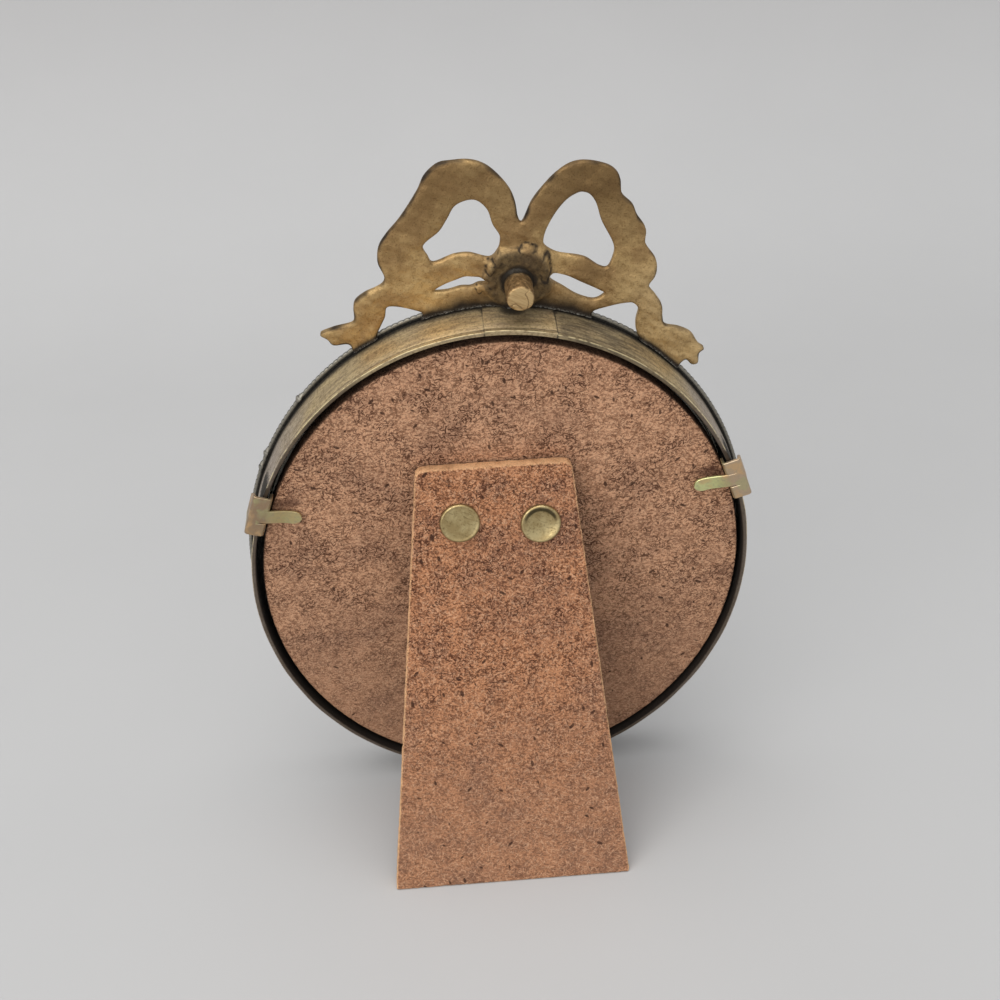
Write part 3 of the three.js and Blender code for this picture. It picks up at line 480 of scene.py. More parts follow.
BOW_HOLES = (
    ((8.9, 18.1), (7.5, 18.1), (5.8, 16.6), (4.8, 14.0), (3.6, 12.0), (3.5, 10.3), (3.7, 9.5), (4.8, 8.0),
     (8.3, 8.7), (10.5, 8.4), (13.9, 7.0), (14.6, 8.1), (15.4, 10.0), (12.9, 12.8), (11.8, 14.9),
     (10.7, 17.1)),
    ((-8.4, 19.7), (-9.6, 19.4), (-10.7, 18.1), (-12.0, 14.8), (-14.1, 11.1), (-14.6, 9.6), (-14.6, 8.7),
     (-13.8, 6.2), (-12.6, 6.4), (-10.3, 7.9), (-9.0, 8.3), (-5.5, 8.9), (-3.7, 10.0), (-3.3, 10.7),
     (-3.4, 12.6), (-4.7, 16.0), (-6.4, 18.5), (-7.8, 19.5)),
    ((13.6, 1.8), (12.3, 2.9), (9.9, 4.1), (8.7, 4.6), (7.7, 4.6), (5.0, 4.2), (5.2, 3.5), (6.5, 3.3),
     (7.6, 2.7), (9.2, 2.6), (11.3, 1.9)),
    ((-4.6, 5.0), (-5.1, 5.3), (-7.3, 4.9), (-10.0, 3.6), (-12.7, 2.3), (-13.9, 1.5), (-13.3, 0.7),
     (-12.5, 0.3), (-11.7, 0.3), (-9.4, 1.1), (-7.1, 2.6), (-4.9, 4.1)),
    ((20.9, -1.2), (19.9, -1.0), (16.6, -1.7), (15.2, -2.4), (16.5, -5.0), (21.3, -8.0), (22.5, -7.0),
     (21.8, -4.6), (21.2, -3.0)),
    ((-17.6, -0.3), (-18.7, -0.3), (-19.7, -1.4), (-19.6, -3.7), (-19.8, -5.4), (-20.6, -8.0),
     (-13.4, -5.0), (-12.2, -2.2), (-14.7, -1.0)))


def through(points):
    """A smooth closed line through points: between two of them the cubic that also heeds the next point each
    way, each step of its parameter the root of the distance."""
    points = np.asarray(points, float)
    p0, p1, p2, p3 = (np.roll(points, 1 - k, 0)[:, None] for k in range(4))
    t1, t2, t3 = np.cumsum([np.linalg.norm(b - a, axis=-1, keepdims=True) ** 0.5
                            for a, b in ((p0, p1), (p1, p2), (p2, p3))], 0)
    t = t1 + (t2 - t1) * np.linspace(0, 1, 16, endpoint=False)[None, :, None]
    a1, a2, a3 = (p + (q - p) * (t - first) / (last - first)
                  for p, q, first, last in ((p0, p1, 0, t1), (p1, p2, t1, t2), (p2, p3, t2, t3)))
    b1, b2 = a1 + (a2 - a1) * t / t2, a2 + (a3 - a2) * (t - t1) / (t3 - t1)
    return (b1 + (b2 - b1) * (t - t1) / (t2 - t1)).reshape(-1, 2)


def stepped(line, step):
    """A closed line cut again into equal steps of its length."""
    ends = np.vstack([line, line[:1]])
    run = np.concatenate([[0], np.cumsum(np.hypot(*np.diff(ends, axis=0).T))])
    places = np.linspace(0, run[-1], int(run[-1] / step), endpoint=False)
    return np.stack([np.interp(places, run, ends[:, k]) for k in range(2)], -1)


def bow_to_oval(points):
    """Bow points, measured up from the rim's top, turned about the oval's middle as the bow was soldered."""
    x, up = np.moveaxis(np.asarray(points, float), -1, 0)
    up = up + RIM_TOP
    return np.stack([x * cos(BOW_TURN) - up * sin(BOW_TURN),
                     x * sin(BOW_TURN) + up * cos(BOW_TURN)], -1)


def oval_to_bow(x, up):
    """The way back from the oval to the bow's own x and up."""
    return (x * cos(BOW_TURN) + up * sin(BOW_TURN),
            up * cos(BOW_TURN) - x * sin(BOW_TURN) - RIM_TOP)


def inside(points, loops):
    """Which points lie inside the first loop and in none of the holes after it: a line from a point to the
    side crosses what surrounds it an odd number of times."""
    x, up = points[:, :1], points[:, 1:]
    odd = []
    for loop in loops:
        (ax, aup), (bx, bup) = loop.T, np.roll(loop, -1, 0).T
        span = np.where(bup == aup, 1e-12, bup - aup)
        crossed = ((aup > up) != (bup > up)) & (x < (bx - ax) * (up - aup) / span + ax)
        odd.append(crossed.sum(1) % 2 == 1)
    return odd[0] & ~np.any(odd[1:], 0)


def edge_distance(points, loops):
    """The shortest distance from each point to the straight steps of the loops."""
    starts = np.vstack(loops)
    ways = np.vstack([np.roll(loop, -1, 0) for loop in loops]) - starts
    lengths = np.einsum("ij,ij->i", ways, ways)
    best = np.full(len(points), np.inf)
    for first in range(0, len(starts), 200):
        part = slice(first, first + 200)
        gap = points[:, None] - starts[None, part]
        share = np.clip(np.einsum("ijk,jk->ij", gap, ways[part]) / lengths[part], 0, 1)
        gap = gap - share[..., None] * ways[None, part]
        best = np.minimum(best, np.einsum("ijk,ijk->ij", gap, gap).min(1))
    return np.sqrt(best)


def out_of_oval(points):
    """About how far points lie outside the band: their share of the oval's reach, less one, times it."""
    reach = np.hypot(points[:, 0] / HALF_WIDTH, points[:, 1] / HALF_HEIGHT)
    return (reach - 1) * np.hypot(points[:, 0], points[:, 1]) / reach


def waves(x, up, seed, count=9, shortest=2.2, longest=9.0):
    """A gentle unevenness: a sum of seeded plane waves of many lengths and ways, about one high."""
    rng = np.random.default_rng(seed)
    way, phase = rng.uniform(0, 2 * pi, (2, count))
    length = rng.uniform(shortest, longest, count)
    total = sum(np.sin((x * cos(w) + up * sin(w)) * 2 * pi / size + p)
                for w, p, size in zip(way, phase, length))
    return total / sqrt(count)


def bow_sheet():
    """The bow's plan as triangles: its loops, two rows of points drawn in from them along their normals and
    an even grid inside, joined so that every loop step is kept, less what lies in a hole or in the band."""
    loops = [bow_to_oval(stepped(through(loop), BOW_STEP)) for loop in (BOW_OUTLINE, *BOW_HOLES)]
    rim = np.stack(oval(even_turns(1000)[0], BOW_FOOT), -1)
    low, high = loops[0].min(0), loops[0].max(0)
    columns, rows = (np.arange(low[k], high[k], BOW_GRID * pitch) for k, pitch in enumerate((1, 0.866)))
    grid = np.stack(np.meshgrid(columns, rows), -1)
    grid[1::2, :, 0] += BOW_GRID / 2
    grid = grid.reshape(-1, 2)
    drawn_in = []
    for depth in EDGE_ROWS:
        for loop in loops:
            side = normals(loop) * depth
            row = np.vstack([loop + side, loop - side])
            drawn_in.append(row[edge_distance(row, loops) > 0.94 * depth])
    grid = np.vstack(drawn_in + [grid[edge_distance(grid, loops) > EDGE_ROWS[-1] + 0.25]])
    grid = grid[inside(grid, loops) & (out_of_oval(grid) > BOW_FOOT + 0.15)]
    every = loops + [rim]
    starts = np.cumsum([0] + [len(loop) for loop in every])
    steps = np.vstack([np.stack([np.arange(len(loop)), np.roll(np.arange(len(loop)), -1)], -1) + start
                       for loop, start in zip(every, starts)])
    spots = np.vstack(every + [grid])
    joined = delaunay_2d_cdt([Vector(spot) for spot in spots.tolist()], steps.tolist(), [], 0, 1e-6)
    plan, faces = np.array([tuple(spot) for spot in joined[0]]), np.array([face[:3] for face in joined[2]])
    centre = plan[faces].mean(1)
    faces = faces[inside(centre, loops) & (out_of_oval(centre) > BOW_FOOT - 0.01)]
    used, faces = np.unique(faces, return_inverse=True)
    return plan[used], faces.reshape(-1, 3), loops


def cast_bow():
    """Two height fields over the plan, joined along its edge. The back is flat but uneven, rolls over at the
    edge and rises at the boss as a steep step with round lumps on its rim; the front swells with the distance
    from the edge, in soft sine folds, to a half-round pleated knot. Kept for the finish: how near the edge,
    the feet of the lumps and the knot, the boss, the painted shade round the stud and the band are."""
    plan, faces, loops = bow_sheet()
    away = np.minimum(edge_distance(plan, loops), 6)
    x, up = oval_to_bow(*plan.T)
    out = out_of_oval(plan)
    from_stud = np.hypot(x - STUD_PLACE[0], up - STUD_PLACE[1])
    from_boss = np.hypot(x - BOSS_PLACE[0], up - BOSS_PLACE[1])
    boss = 1 / (1 + np.exp((from_boss - BOSS_RADIUS + 0.3 * waves(x, up, 14, 5, 4, 9)) * 6))
    lumps, feet = 0 * x, np.exp(-((from_boss - BOSS_RADIUS) / 0.3) ** 2) * 0.6
    for dx, dup, tall, wide, high in BOSS_LUMPS:
        reach = np.hypot((x - STUD_PLACE[0] - dx) / wide, (up - STUD_PLACE[1] - dup) / high)
        reach = reach * (1 + 0.08 * waves(x, up, int(100 * tall + dx), 6, 1.2, 2.6))
        lumps = np.maximum(lumps, tall * np.sqrt(np.clip(1 - reach ** 2, 0, 1)))
        feet = np.maximum(feet, np.exp(-((reach - 1.1) / 0.32) ** 2))
    rolled = np.exp(-away / 0.3)
    uneven = 0.10 * waves(x, up, 3) + 0.05 * waves(x, up, 8, 9, 1.0, 2.4)
    back = BOW_BACK - 0.12 + uneven * (1 - rolled) - 0.22 * rolled
    back = back + BOSS_HEIGHT * boss * (1 + 0.06 * waves(x, up, 5, 9, 1.6, 4.0)) + lumps * 0.8
    knot_reach = np.hypot((x - STUD_PLACE[0]) / 4.2, (up - STUD_PLACE[1]) / 3.6)
    pleats = 1 - 0.12 * np.cos((x - STUD_PLACE[0]) * 2.4 + up * 0.4) ** 2
    fold = 0.26 * np.sin((x * 0.9 + np.abs(x) * 0.5 + up * 0.8) * 1.1)
    front = -0.28 - (0.42 + fold) * (1 - np.exp(-away / 0.9))
    front = front - 2.0 * np.sqrt(np.maximum(1 - knot_reach ** 2, 0)) * pleats
    over_flange = 1 / (1 + np.exp((out - 1.1) * 22))
    front = front * (1 - over_flange) + 0.1 * over_flange
    front = np.minimum(front, back - 0.2)
    count = len(plan)
    points = np.vstack([np.stack([plan[:, 0], height, plan[:, 1]], -1) for height in (back, front)])
    ways = np.vstack([faces[:, [0, 1]], faces[:, [1, 2]], faces[:, [2, 0]]])
    codes, reverse = ways[:, 0] * count + ways[:, 1], ways[:, 1] * count + ways[:, 0]
    rim = ways[~np.isin(codes, reverse)]
    walls = np.stack([rim[:, 1], rim[:, 0], rim[:, 0] + count, rim[:, 1] + count], -1)
    shell = outward(leaned(points), [faces, faces[:, ::-1] + count, walls])
    from_edge = edge_distance(plan, loops[:1])
    outer_edge = np.exp(-(from_edge / (0.34 + 0.1 * waves(x, up, 31, 7, 3, 8))) ** 2)
    outer_edge = outer_edge * np.clip(0.7 + 0.45 * waves(x, up, 33, 7, 3, 9), 0.1, 1)
    # A ring of painted shade round the stud's foot, where it meets the boss.
    painted_shade = 1 / (1 + np.exp((from_stud - 3.3 - 0.25 * waves(x, up, 21, 5, 2, 5)) * 3.5))
    marks = {"edge": np.append(outer_edge, 0.8 * outer_edge),
             "feet": np.append(np.clip(feet, 0, 1), np.exp(-((knot_reach - 1.02) / 0.12) ** 2)),
             "boss": np.append(boss, 0 * boss), "painted_shade": np.append(painted_shade, 0 * painted_shade),
             "foot": np.tile(np.exp(-np.clip(out - 0.7, 0, 9) / (0.6 + 2.4 * np.exp(-(x / 13) ** 4))), 2),
             "bead": np.tile(np.exp(-np.clip(out - 0.25, 0, 9) / 0.16), 2)}
    return shell, marks


cast = Finish("cast_brass")
grain = cast.noise(1.1, 5, 0.66)
pits = cast.noise(4.2, 3, 0.6)
bloom = cast.noise(0.16, 3, 0.55)
patchy = cast.noise(0.28, 2, 0.5)
skin = cast.blend(bloom.from_to(0.36, 0.62), (194, 164, 114), (166, 135, 92))
# Darker towards the top of the bow, most where x is below -4.
darker_above = cast.up.from_to(62, 76) * (0.55 + 0.3 * cast.x.from_to(-4, -14))
skin = skin.coat(darker_above.most(bloom.from_to(0.54, 0.66) * 0.5 * cast.up.from_to(54, 62)), (112, 87, 56))
skin = skin.coat(cast.x.from_to(-17, -25) * cast.up.from_to(64, 56) * 0.7, (206, 178, 130))
skin = skin.coat(grain.from_to(0.45, 0.68) * 0.5, (132, 106, 68))
skin = skin.deepened(pits.from_to(0.54, 0.72) * 0.6, (146, 124, 100))
edge = cast.mark("edge") * (0.35 + 1.1 * patchy)
brown = edge.most(cast.mark("feet") * (0.62 + 0.6 * grain)).most(cast.mark("foot") * (0.65 + 0.8 * patchy))
brown = brown.most(cast.mark("boss") * (0.5 + 0.42 * grain)).most(cast.mark("painted_shade") * 0.98)
skin = skin.coat(brown.from_to(0.08, 1.0), (42, 33, 24))
skin = skin.coat(cast.mark("bead") * pits.from_to(0.42, 0.6) * 0.6, (168, 166, 158))
cast.wear(Base_Color=skin, Metallic=0.92 - 0.35 * brown, Roughness=0.42 + 0.22 * brown + 0.12 * pits,
          Normal=cast.raised(grain + pits * 0.5, 0.14))
bow, bow_marks = cast_bow()
put("cast_bow", [bow], cast, "frame", ["bow_crest"], bow_marks, crease=75)

# Bow stud: a short brass rod sweated into the boss and sawn off square, left over from casting and used to
# hold the bow while it was soldered. Its cut end is bright, with the marks of the saw.
STUD_RADIUS, STUD_FOOT, STUD_END = 2.2, 1.4, 6.6


def lathed(profile, sides=64, bump=0.0, seed=1):
    """A profile of (radius, height) turned about the height: radius times cosine and sine, with a pole at
    each end and the radius moved by seeded waves. Gives points (x, height, up) and faces."""
    radius, height = np.asarray(profile, float).T[:, 1:-1]
    turn = np.linspace(0, 2 * pi, sides, endpoint=False)[:, None]
    rng = np.random.default_rng(seed)
    wobble = sum(np.cos(k * turn + rng.uniform(0, 6) + height * rng.uniform(0.3, 1.2)) / k
                 for k in range(2, 7))
    reach = radius * (1 + bump * wobble)
    points = np.stack([reach * np.cos(turn), height + 0 * turn, reach * np.sin(turn)], -1).reshape(-1, 3)
    poles = [[0, profile[0][1], 0], [0, profile[-1][1], 0]]
    rows, side = len(radius), np.arange(sides)
    foot, end = side * rows, side * rows + rows - 1
    fans = np.vstack([fan(len(points), foot)[:, [0, 2, 1]], fan(len(points) + 1, end)])
    return np.vstack([points, poles]), [quads(sides, rows, round_rows=True), fans]


stud_foot = [[0, 0], [2.6, 0], [2.55, 0.3], [2.4, 0.5], [2.28, 0.75], [STUD_RADIUS, 1.05], [STUD_RADIUS, 2.2],
             [STUD_RADIUS * 0.985, 3.2]]
stud_end = [[STUD_RADIUS, -0.3], [STUD_RADIUS - 0.06, -0.1], [STUD_RADIUS - 0.2, 0],
            [1.2, -0.02], [0.6, -0.03], [0, -0.03]]
stud_profile = np.vstack([np.add(stud_foot, [0, STUD_FOOT]), np.add(stud_end, [0, STUD_END])])
stud_points, stud_faces = lathed(stud_profile, sides=56, bump=0.018, seed=7)
stud_x, stud_up = bow_to_oval(stud_points[:, [0, 2]] + STUD_PLACE).T
stud_height = stud_points[:, 1]
stud = outward(leaned(np.stack([stud_x, stud_height, stud_up], -1)), stud_faces)

rod = Finish("sawn_rod_brass")
saw = rod.noise(1.0, 2, 0.5, rod.turned(0.5, (0.35, 1, 4.5)))
scar = rod.noise(1.4, 4, 0.65)
cut_end, foot = rod.mark("cut"), rod.mark("foot")
drawn = rod.blend(scar.from_to(0.35, 0.62), (172, 142, 100), (122, 98, 67))
# The rod is painted dark towards its foot, as shade where it meets the boss.
drawn = drawn.coat((foot * (0.7 + 0.8 * scar)).from_to(0.2, 0.9), (40, 34, 26))
gouge = rod.noise(0.42, 1, 0.4, warp=0.3) - 0.5
gouge = (gouge * gouge).from_to(0.0016, 0.0002)
face = rod.blend(saw.from_to(0.42, 0.62) * 0.6, (206, 176, 128), (168, 134, 90))
rod.wear(Base_Color=drawn.coat(cut_end, face.coat(gouge * 0.55, (104, 76, 46))), Metallic=0.95 - 0.4 * foot,
         Roughness=0.34 + 0.25 * scar * (1 - cut_end) + 0.1 * saw,
         Normal=rod.raised(saw * 0.4 + scar - 0.6 * gouge, 0.08))
put("sawn_stud", [stud], rod, "frame", ["bow_stud"],
    {"cut": (stud_height > STUD_END - 0.05).astype(float),
     "foot": np.clip((STUD_FOOT + 1.35 - stud_height) / 0.5, 0, 1)}, crease=50)

# Back board: an oval of 3 mm hardboard, wood fibre pressed hard in a brown sheet, cut with a soft sawn edge.
# Dark and pale fibres lie in it at every angle. It lies loose in the band, closes the pocket and carries the
# hinge. It is painted darker in an oval by each clip's finger, and its sawn edge carries painted shade where
# it sits in the band.
BOARD_FRONT, BOARD_BACK = 3.3, 6.3
BOARD_HALF_WIDTH, BOARD_HALF_HEIGHT, BOARD_ASIDE, BOARD_DROP = 43.3, 53.15, -0.2, 0.7
BOARD_DARK_OVALS, DARK_OVAL_LONG, DARK_OVAL_TALL, BOARD_STEPS = ((36.6, 21.2), (-36.8, 22.3)), 3.0, 1.2, 760


def hardboard(name, pale, deep, dark, turn, middle, fibre, strand_level, dull, dark_ovals=()):
    """Pressed fibre: a pale and brown grain, dark specks, strands, dark where any of six stretched noises is
    high and pale where it is low, long dark chips, grey clouds, a pale fuzz along the sawn edge, partly a
    painted highlight, and painted shade along the sawn edge where that mark is given. Fibre is the grain's
    pitch per mm, strand_level the noise from which a strand darkens, dull the two heights between which
    handling has worn the fibres smooth, and each dark oval the middle (x, up) of an oval painted darker by a
    clip's finger."""
    board = Finish(name, turn, middle)
    clouds = board.noise(0.09, 3, 0.6)
    mottle = board.noise(0.5, 4, 0.65)
    felt = board.noise(5.0, 2, 0.6)
    clump = board.noise(0.2, 3, 0.6)
    worn_low = board.up.from_to(*dull)
    grain = board.noise(fibre, 4, 0.75, board.turned(0.3, (1, 1, 1.4)))
    colour = board.blend((grain + 0.4 * (mottle - 0.5)).from_to(0.4, 0.57), deep, pale)
    colour = colour.coat(worn_low * 0.4, (150, 112, 87))
    colour = colour.coat(clouds.from_to(0.42, 0.68) * 0.28 + clump.from_to(0.45, 0.7) * 0.3, (116, 86, 71))
    specks = board.noise(2.6, 1, 0.5, board.turned(0.9, (1.3, 1, 1))) + 0.3 * (mottle - 0.5)
    strands = specks.from_to(0.58, 0.66) * 0.9
    hairs = chips = strands * 0
    for angle in (0.1, 0.6, 1.2, 1.7, 2.3, 2.8):
        lay = board.noise(1.35, 0.0, 0.5, board.turned(angle, (0.65, 1.6, 2.6)), 0.1)
        strands = strands.most(lay.from_to(strand_level, strand_level + 0.07))
        hairs = hairs.most(lay.from_to(1 - strand_level, 0.93 - strand_level))
    for angle in (0.5, 1.4, 2.3):
        spot = board.turned(angle, (0.5, 0.5, 1.1))
        pick = board.node("SeparateColor", {}, {0: board.cells(0.46, spot, "Color")}, 0)
        chips = chips.most((board.cells(0.46, spot) + 0.12 * mottle + 0.25 * pick).from_to(0.25, 0.18))
    colour = colour.coat(hairs * 0.35, (214, 172, 138))
    colour = colour.coat(strands * (0.32 + 0.6 * clump.from_to(0.36, 0.6)) * (1 - 0.6 * worn_low), dark)
    colour = colour.coat(chips * 0.85, (54, 31, 21))
    # A dark oval painted by each clip's finger.
    for x, up in dark_ovals:
        along, over = (board.x - x) * (1 / DARK_OVAL_LONG), (board.up - up) * (1 / DARK_OVAL_TALL)
        dark_oval = (along * along + over * over + 1.6 * (mottle - 0.5)).from_to(1.4, 0.0)
        colour = colour.coat(dark_oval * 0.7, (70, 42, 32))
    # Pale fuzz on the sawn edge, made paler than the fibre alone as a painted highlight on the lit edge.
    fuzz_and_highlight = board.mark("rim") * (0.1 + 0.8 * felt + 0.8 * grain)
    colour = colour.coat(fuzz_and_highlight.from_to(0.3, 0.8) * 0.85, (236, 188, 140))
    # Painted shade along the board's sawn edge, where it sits in the gap inside the band.
    colour = colour.coat(board.mark("painted_edge_shade").from_to(0.5, 0.95) * 0.85, (44, 27, 18))
    return board.wear(Base_Color=colour, Roughness=0.8 + 0.15 * mottle, Specular_IOR_Level=0.2,
                      Normal=board.raised(grain + felt * 0.4 - 0.5 * strands - 0.5 * chips + fuzz_and_highlight, 0.1))


board_finish = hardboard("back_hardboard", (198, 151, 118), (136, 97, 72), (72, 42, 27), LEAN, OVAL_MIDDLE,
                         fibre=1.8, strand_level=0.71, dull=(8, -40), dark_ovals=BOARD_DARK_OVALS)
turn, _ = even_turns(BOARD_STEPS)
board_outline = np.stack([BOARD_HALF_WIDTH * np.cos(turn) + BOARD_ASIDE,
                          BOARD_HALF_HEIGHT * np.sin(turn) - BOARD_DROP], -1)
board_points, board_faces, board_rim = slab(board_outline, BOARD_FRONT, BOARD_BACK,
                                            roll=0.35, fray=0.03, seed=11)
board_shell = outward(leaned(board_points), board_faces)
put("fibre_board", [board_shell], board_finish, "back", ["back_board"], {"painted_edge_shade": board_rim})

# Hinge: two leaves of thin steel strip rolled round a wire pin, riveted to the board and to the leg.
# The leg covers all but its edges. Its zinc has gone dull, with a little rust in the rolled knuckles.
dull = Finish("dull_steel")
rolled_lines = dull.noise(1.0, 3, 0.5, dull.turned(0, (0.3, 2, 6)))
blotch = dull.noise(0.7, 4, 0.6)
rust = blotch.from_to(0.58, 0.72)
steel = dull.blend(rolled_lines.from_to(0.35, 0.65), (176, 176, 172), (140, 140, 138))
dull.wear(Base_Color=steel.coat(rust * 0.7, (112, 78, 54)), Metallic=1 - 0.8 * rust,
          Roughness=0.36 + 0.35 * rust + 0.1 * rolled_lines,
          Normal=dull.raised(rolled_lines * 0.4 + blotch, 0.04))
for node in ("hinge_board_leaf", "hinge_pin", "board_rivet_left", "board_rivet_right", "hinge_leg_leaf"):
    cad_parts[node].data.materials.clear()
    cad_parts[node].data.materials.append(dull.material)

# Easel leg: a tapered strut of the same hardboard, wider at the foot, its corners a little rounded.
# Sawing left its edges pale and furry, made paler still as a painted highlight, and its foot is cut to stand
# flat on the table.
LEG_SPLAY = radians(9.5)
PIN = np.array([0.5, 3.925191, 75.729809])
LEG_MIDDLE, LEG_TOP, LEG_FOOT = 0.65, 5.907, 76.783
LEG_TOP_HALF, LEG_FOOT_HALF, LEG_CORNER = 13.25, 22.2, 1.6
LEG_FRONT, LEG_BACK = 1.25, 4.25


def leg_outline():
    """The leg's four corners, each drawn as an arc between its two straight sides, cut to equal steps."""
    corners = np.array([[LEG_TOP_HALF, LEG_TOP], [-LEG_TOP_HALF, LEG_TOP],
                        [-LEG_FOOT_HALF, -LEG_FOOT], [LEG_FOOT_HALF, -LEG_FOOT]])
    radii = np.array([LEG_CORNER, LEG_CORNER, 0.5, 0.5])[:, None]
    before, after = np.roll(corners, 1, 0) - corners, np.roll(corners, -1, 0) - corners
    before, after = (way / np.linalg.norm(way, axis=1)[:, None] for way in (before, after))
    t = np.linspace(0, 1, 9)[None, :, None]
    arcs = (corners + before * radii)[:, None] * (1 - t) ** 2 + corners[:, None] * 2 * t * (1 - t) \
        + (corners + after * radii)[:, None] * t ** 2
    return stepped(arcs.reshape(-1, 2), 0.36)


leg_points, leg_faces, leg_rim = slab(leg_outline(), LEG_FRONT, LEG_BACK, roll=0.4, fray=0.05, seed=21)
leg_points[:, 0] += LEG_MIDDLE
share_down = np.clip((LEG_TOP - leg_points[:, 2]) / (LEG_TOP + LEG_FOOT), 0, 1)
leg_points[:, 2] -= leg_points[:, 1] * tan(LEG_SPLAY) * share_down
leg_shell = outward(leaned(leg_points, -LEG_SPLAY, PIN), leg_faces)
leg_finish = hardboard("leg_hardboard", (181, 127, 91), (104, 64, 42), (66, 34, 19), -LEG_SPLAY, PIN,
                       fibre=2.2, strand_level=0.69, dull=(-22, -70))
put("tapered_leg", [leg_shell], leg_finish, "leg", ["easel_leg"], {"rim": leg_rim * 0.75})

# Leg rivets: two brass-plated tubular rivets with broad heads, pale and a little green with age. The left
# head is nearly flat with a thin rim; the right one was set harder, so it is dished. A dark line inside each
# rim and the underside of each head are painted shade, and the upper side of the right one's hollow carries a
# painted shadow.
RIVET_RADIUS, RIVET_SEAT, RIVET_TAIL, RIVET_HEAD = 3.5, 4.3, 0.25, 0.7
LEG_RIVETS = (("left", 6.9, -3.8, 0.08), ("right", -6.9, -4.85, 0.5))
plate = Finish("pale_brass", -LEG_SPLAY, PIN)
haze = plate.noise(0.5, 4, 0.6)
nick = plate.noise(2.4, 3, 0.6)
scratch = plate.noise(1.0, 2, 0.5, plate.turned(0.5, (0.35, 1, 2.6)), 1.0)
painted_rim_shade, hollow = plate.mark("ring"), plate.mark("hollow")
pale_brass = (plate.blend(haze.from_to(0.35, 0.65), (188, 170, 126), (160, 140, 98))
              .coat(nick.from_to(0.52, 0.68) * 0.5, (112, 96, 64))
              .coat(scratch.from_to(0.64, 0.7) * 0.6, (96, 80, 52))
              .coat((painted_rim_shade * (0.5 + nick)).from_to(0.3, 1.0) * 0.8, (70, 56, 36))
              .coat((hollow * (0.7 + 0.5 * haze)).from_to(0.2, 0.75) * 0.85, (52, 48, 34)))
plate.wear(Base_Color=pale_brass, Metallic=1 - 0.3 * painted_rim_shade, Roughness=0.26 + 0.2 * haze + 0.2 * painted_rim_shade,
           Normal=plate.raised(haze + nick * 0.5 - 0.5 * scratch, 0.06))
for side, rivet_x, rivet_up, dish in LEG_RIVETS:
    top = RIVET_SEAT + RIVET_HEAD
    shank = [[0, RIVET_TAIL], [1.9, RIVET_TAIL], [2.05, RIVET_TAIL + 0.2], [1.3, RIVET_TAIL + 0.35],
             [1.3, RIVET_SEAT], [RIVET_RADIUS - 0.2, RIVET_SEAT], [RIVET_RADIUS, RIVET_SEAT + 0.15]]
    edge = np.subtract([RIVET_RADIUS, top], [[0.03, 0.32], [0.14, 0.12], [0.3, 0.01], [0.42, 0]])
    bowl = np.linspace(RIVET_RADIUS - 0.55, 0, 14)
    bowl_depth = 0.06 + dish * (1 - (bowl / bowl[0]) ** 2.4)
    head = np.vstack([shank, edge, np.stack([bowl, top - bowl_depth], -1)])
    rivet_points, rivet_faces = lathed(head, bump=0.006, seed=3 if side == "left" else 9)
    x, height, up = rivet_points.T
    reach = np.hypot(x, up)
    # Painted shade: a dark line just inside the rim, and the underside of the head.
    lip = 0.6 * np.exp(-((reach - RIVET_RADIUS + 0.6) / 0.14) ** 2)
    lip = lip + (height < RIVET_SEAT + 0.2) * (reach > 3)
    # A painted shadow in the upper side of the hollow, deeper for a deeper dish.
    upper_side = np.clip(up / np.maximum(reach, 0.01) + 0.25, 0, 1)
    shadowed = 2 * dish * upper_side * np.exp(-((reach - 2.65) / 0.42) ** 2) * (height > RIVET_SEAT)
    shell = outward(leaned(rivet_points + [rivet_x, 0, rivet_up], -LEG_SPLAY, PIN), rivet_faces)
    put(f"{side}_leg_rivet", [shell], plate, "leg", [f"leg_rivet_{side}"],
        {"ring": np.clip(lip, 0, 1), "hollow": np.clip(shadowed, 0, 1)}, crease=50)

# Clips: two spring clips folded from thin steel plated with yellow zinc, which shows green, pink and gold.
# Each is a channel pushed over the band's rear edge, and a finger lanced from its crown presses on the board.
CLIP_GAUGE, CLIP_OUTER, CLIP_INNER = 0.5, 1.57, -1.759
CLIP_SEAT, CLIP_SKIRT, SKIRT_TAPER, TAB_END, SLIT = 7.9, 5.0, 2.0, 6.65, 0.07
FINGER_REACH, FINGER_HALF, FINGER_SEAT = 7.6, 1.4, 6.62


def folded(path, low, high, gauge):
    """A strip of that gauge along a path of (out, rearward): at each point a section with chamfered corners,
    from low to high along the rim, square to the path, and a cap at both ends."""
    path = np.asarray(path, float)
    way = np.gradient(path, axis=0)
    way = way / np.linalg.norm(way, axis=1)[:, None]
    side = np.stack([-way[:, 1], way[:, 0]], -1)
    low, high = np.broadcast_to(low, len(path))[:, None], np.broadcast_to(high, len(path))[:, None]
    half, chamfer = gauge / 2, 0.09
    inner = half - chamfer
    across = np.array([-half, -half, -inner, inner, half, half, inner, -inner])
    ends = np.hstack([low + chamfer, high - chamfer, high, high, high - chamfer, low + chamfer, low, low])
    spots = path[:, None] + side[:, None] * across[None, :, None]
    points = np.concatenate([spots, ends[..., None]], -1).reshape(-1, 3)
    rows = len(path)
    caps = np.stack([np.arange(8), np.arange(8) + (rows - 1) * 8])
    return points, [quads(rows, 8, round_columns=True), caps[:1, ::-1], caps[1:]]


def bend(centre, radius, first, last, count=9):
    """An arc of that radius from one angle to another, in degrees."""
    angle = np.radians(np.linspace(first, last, count))
    return np.stack([centre[0] + radius * np.cos(angle), centre[1] + radius * np.sin(angle)], -1)


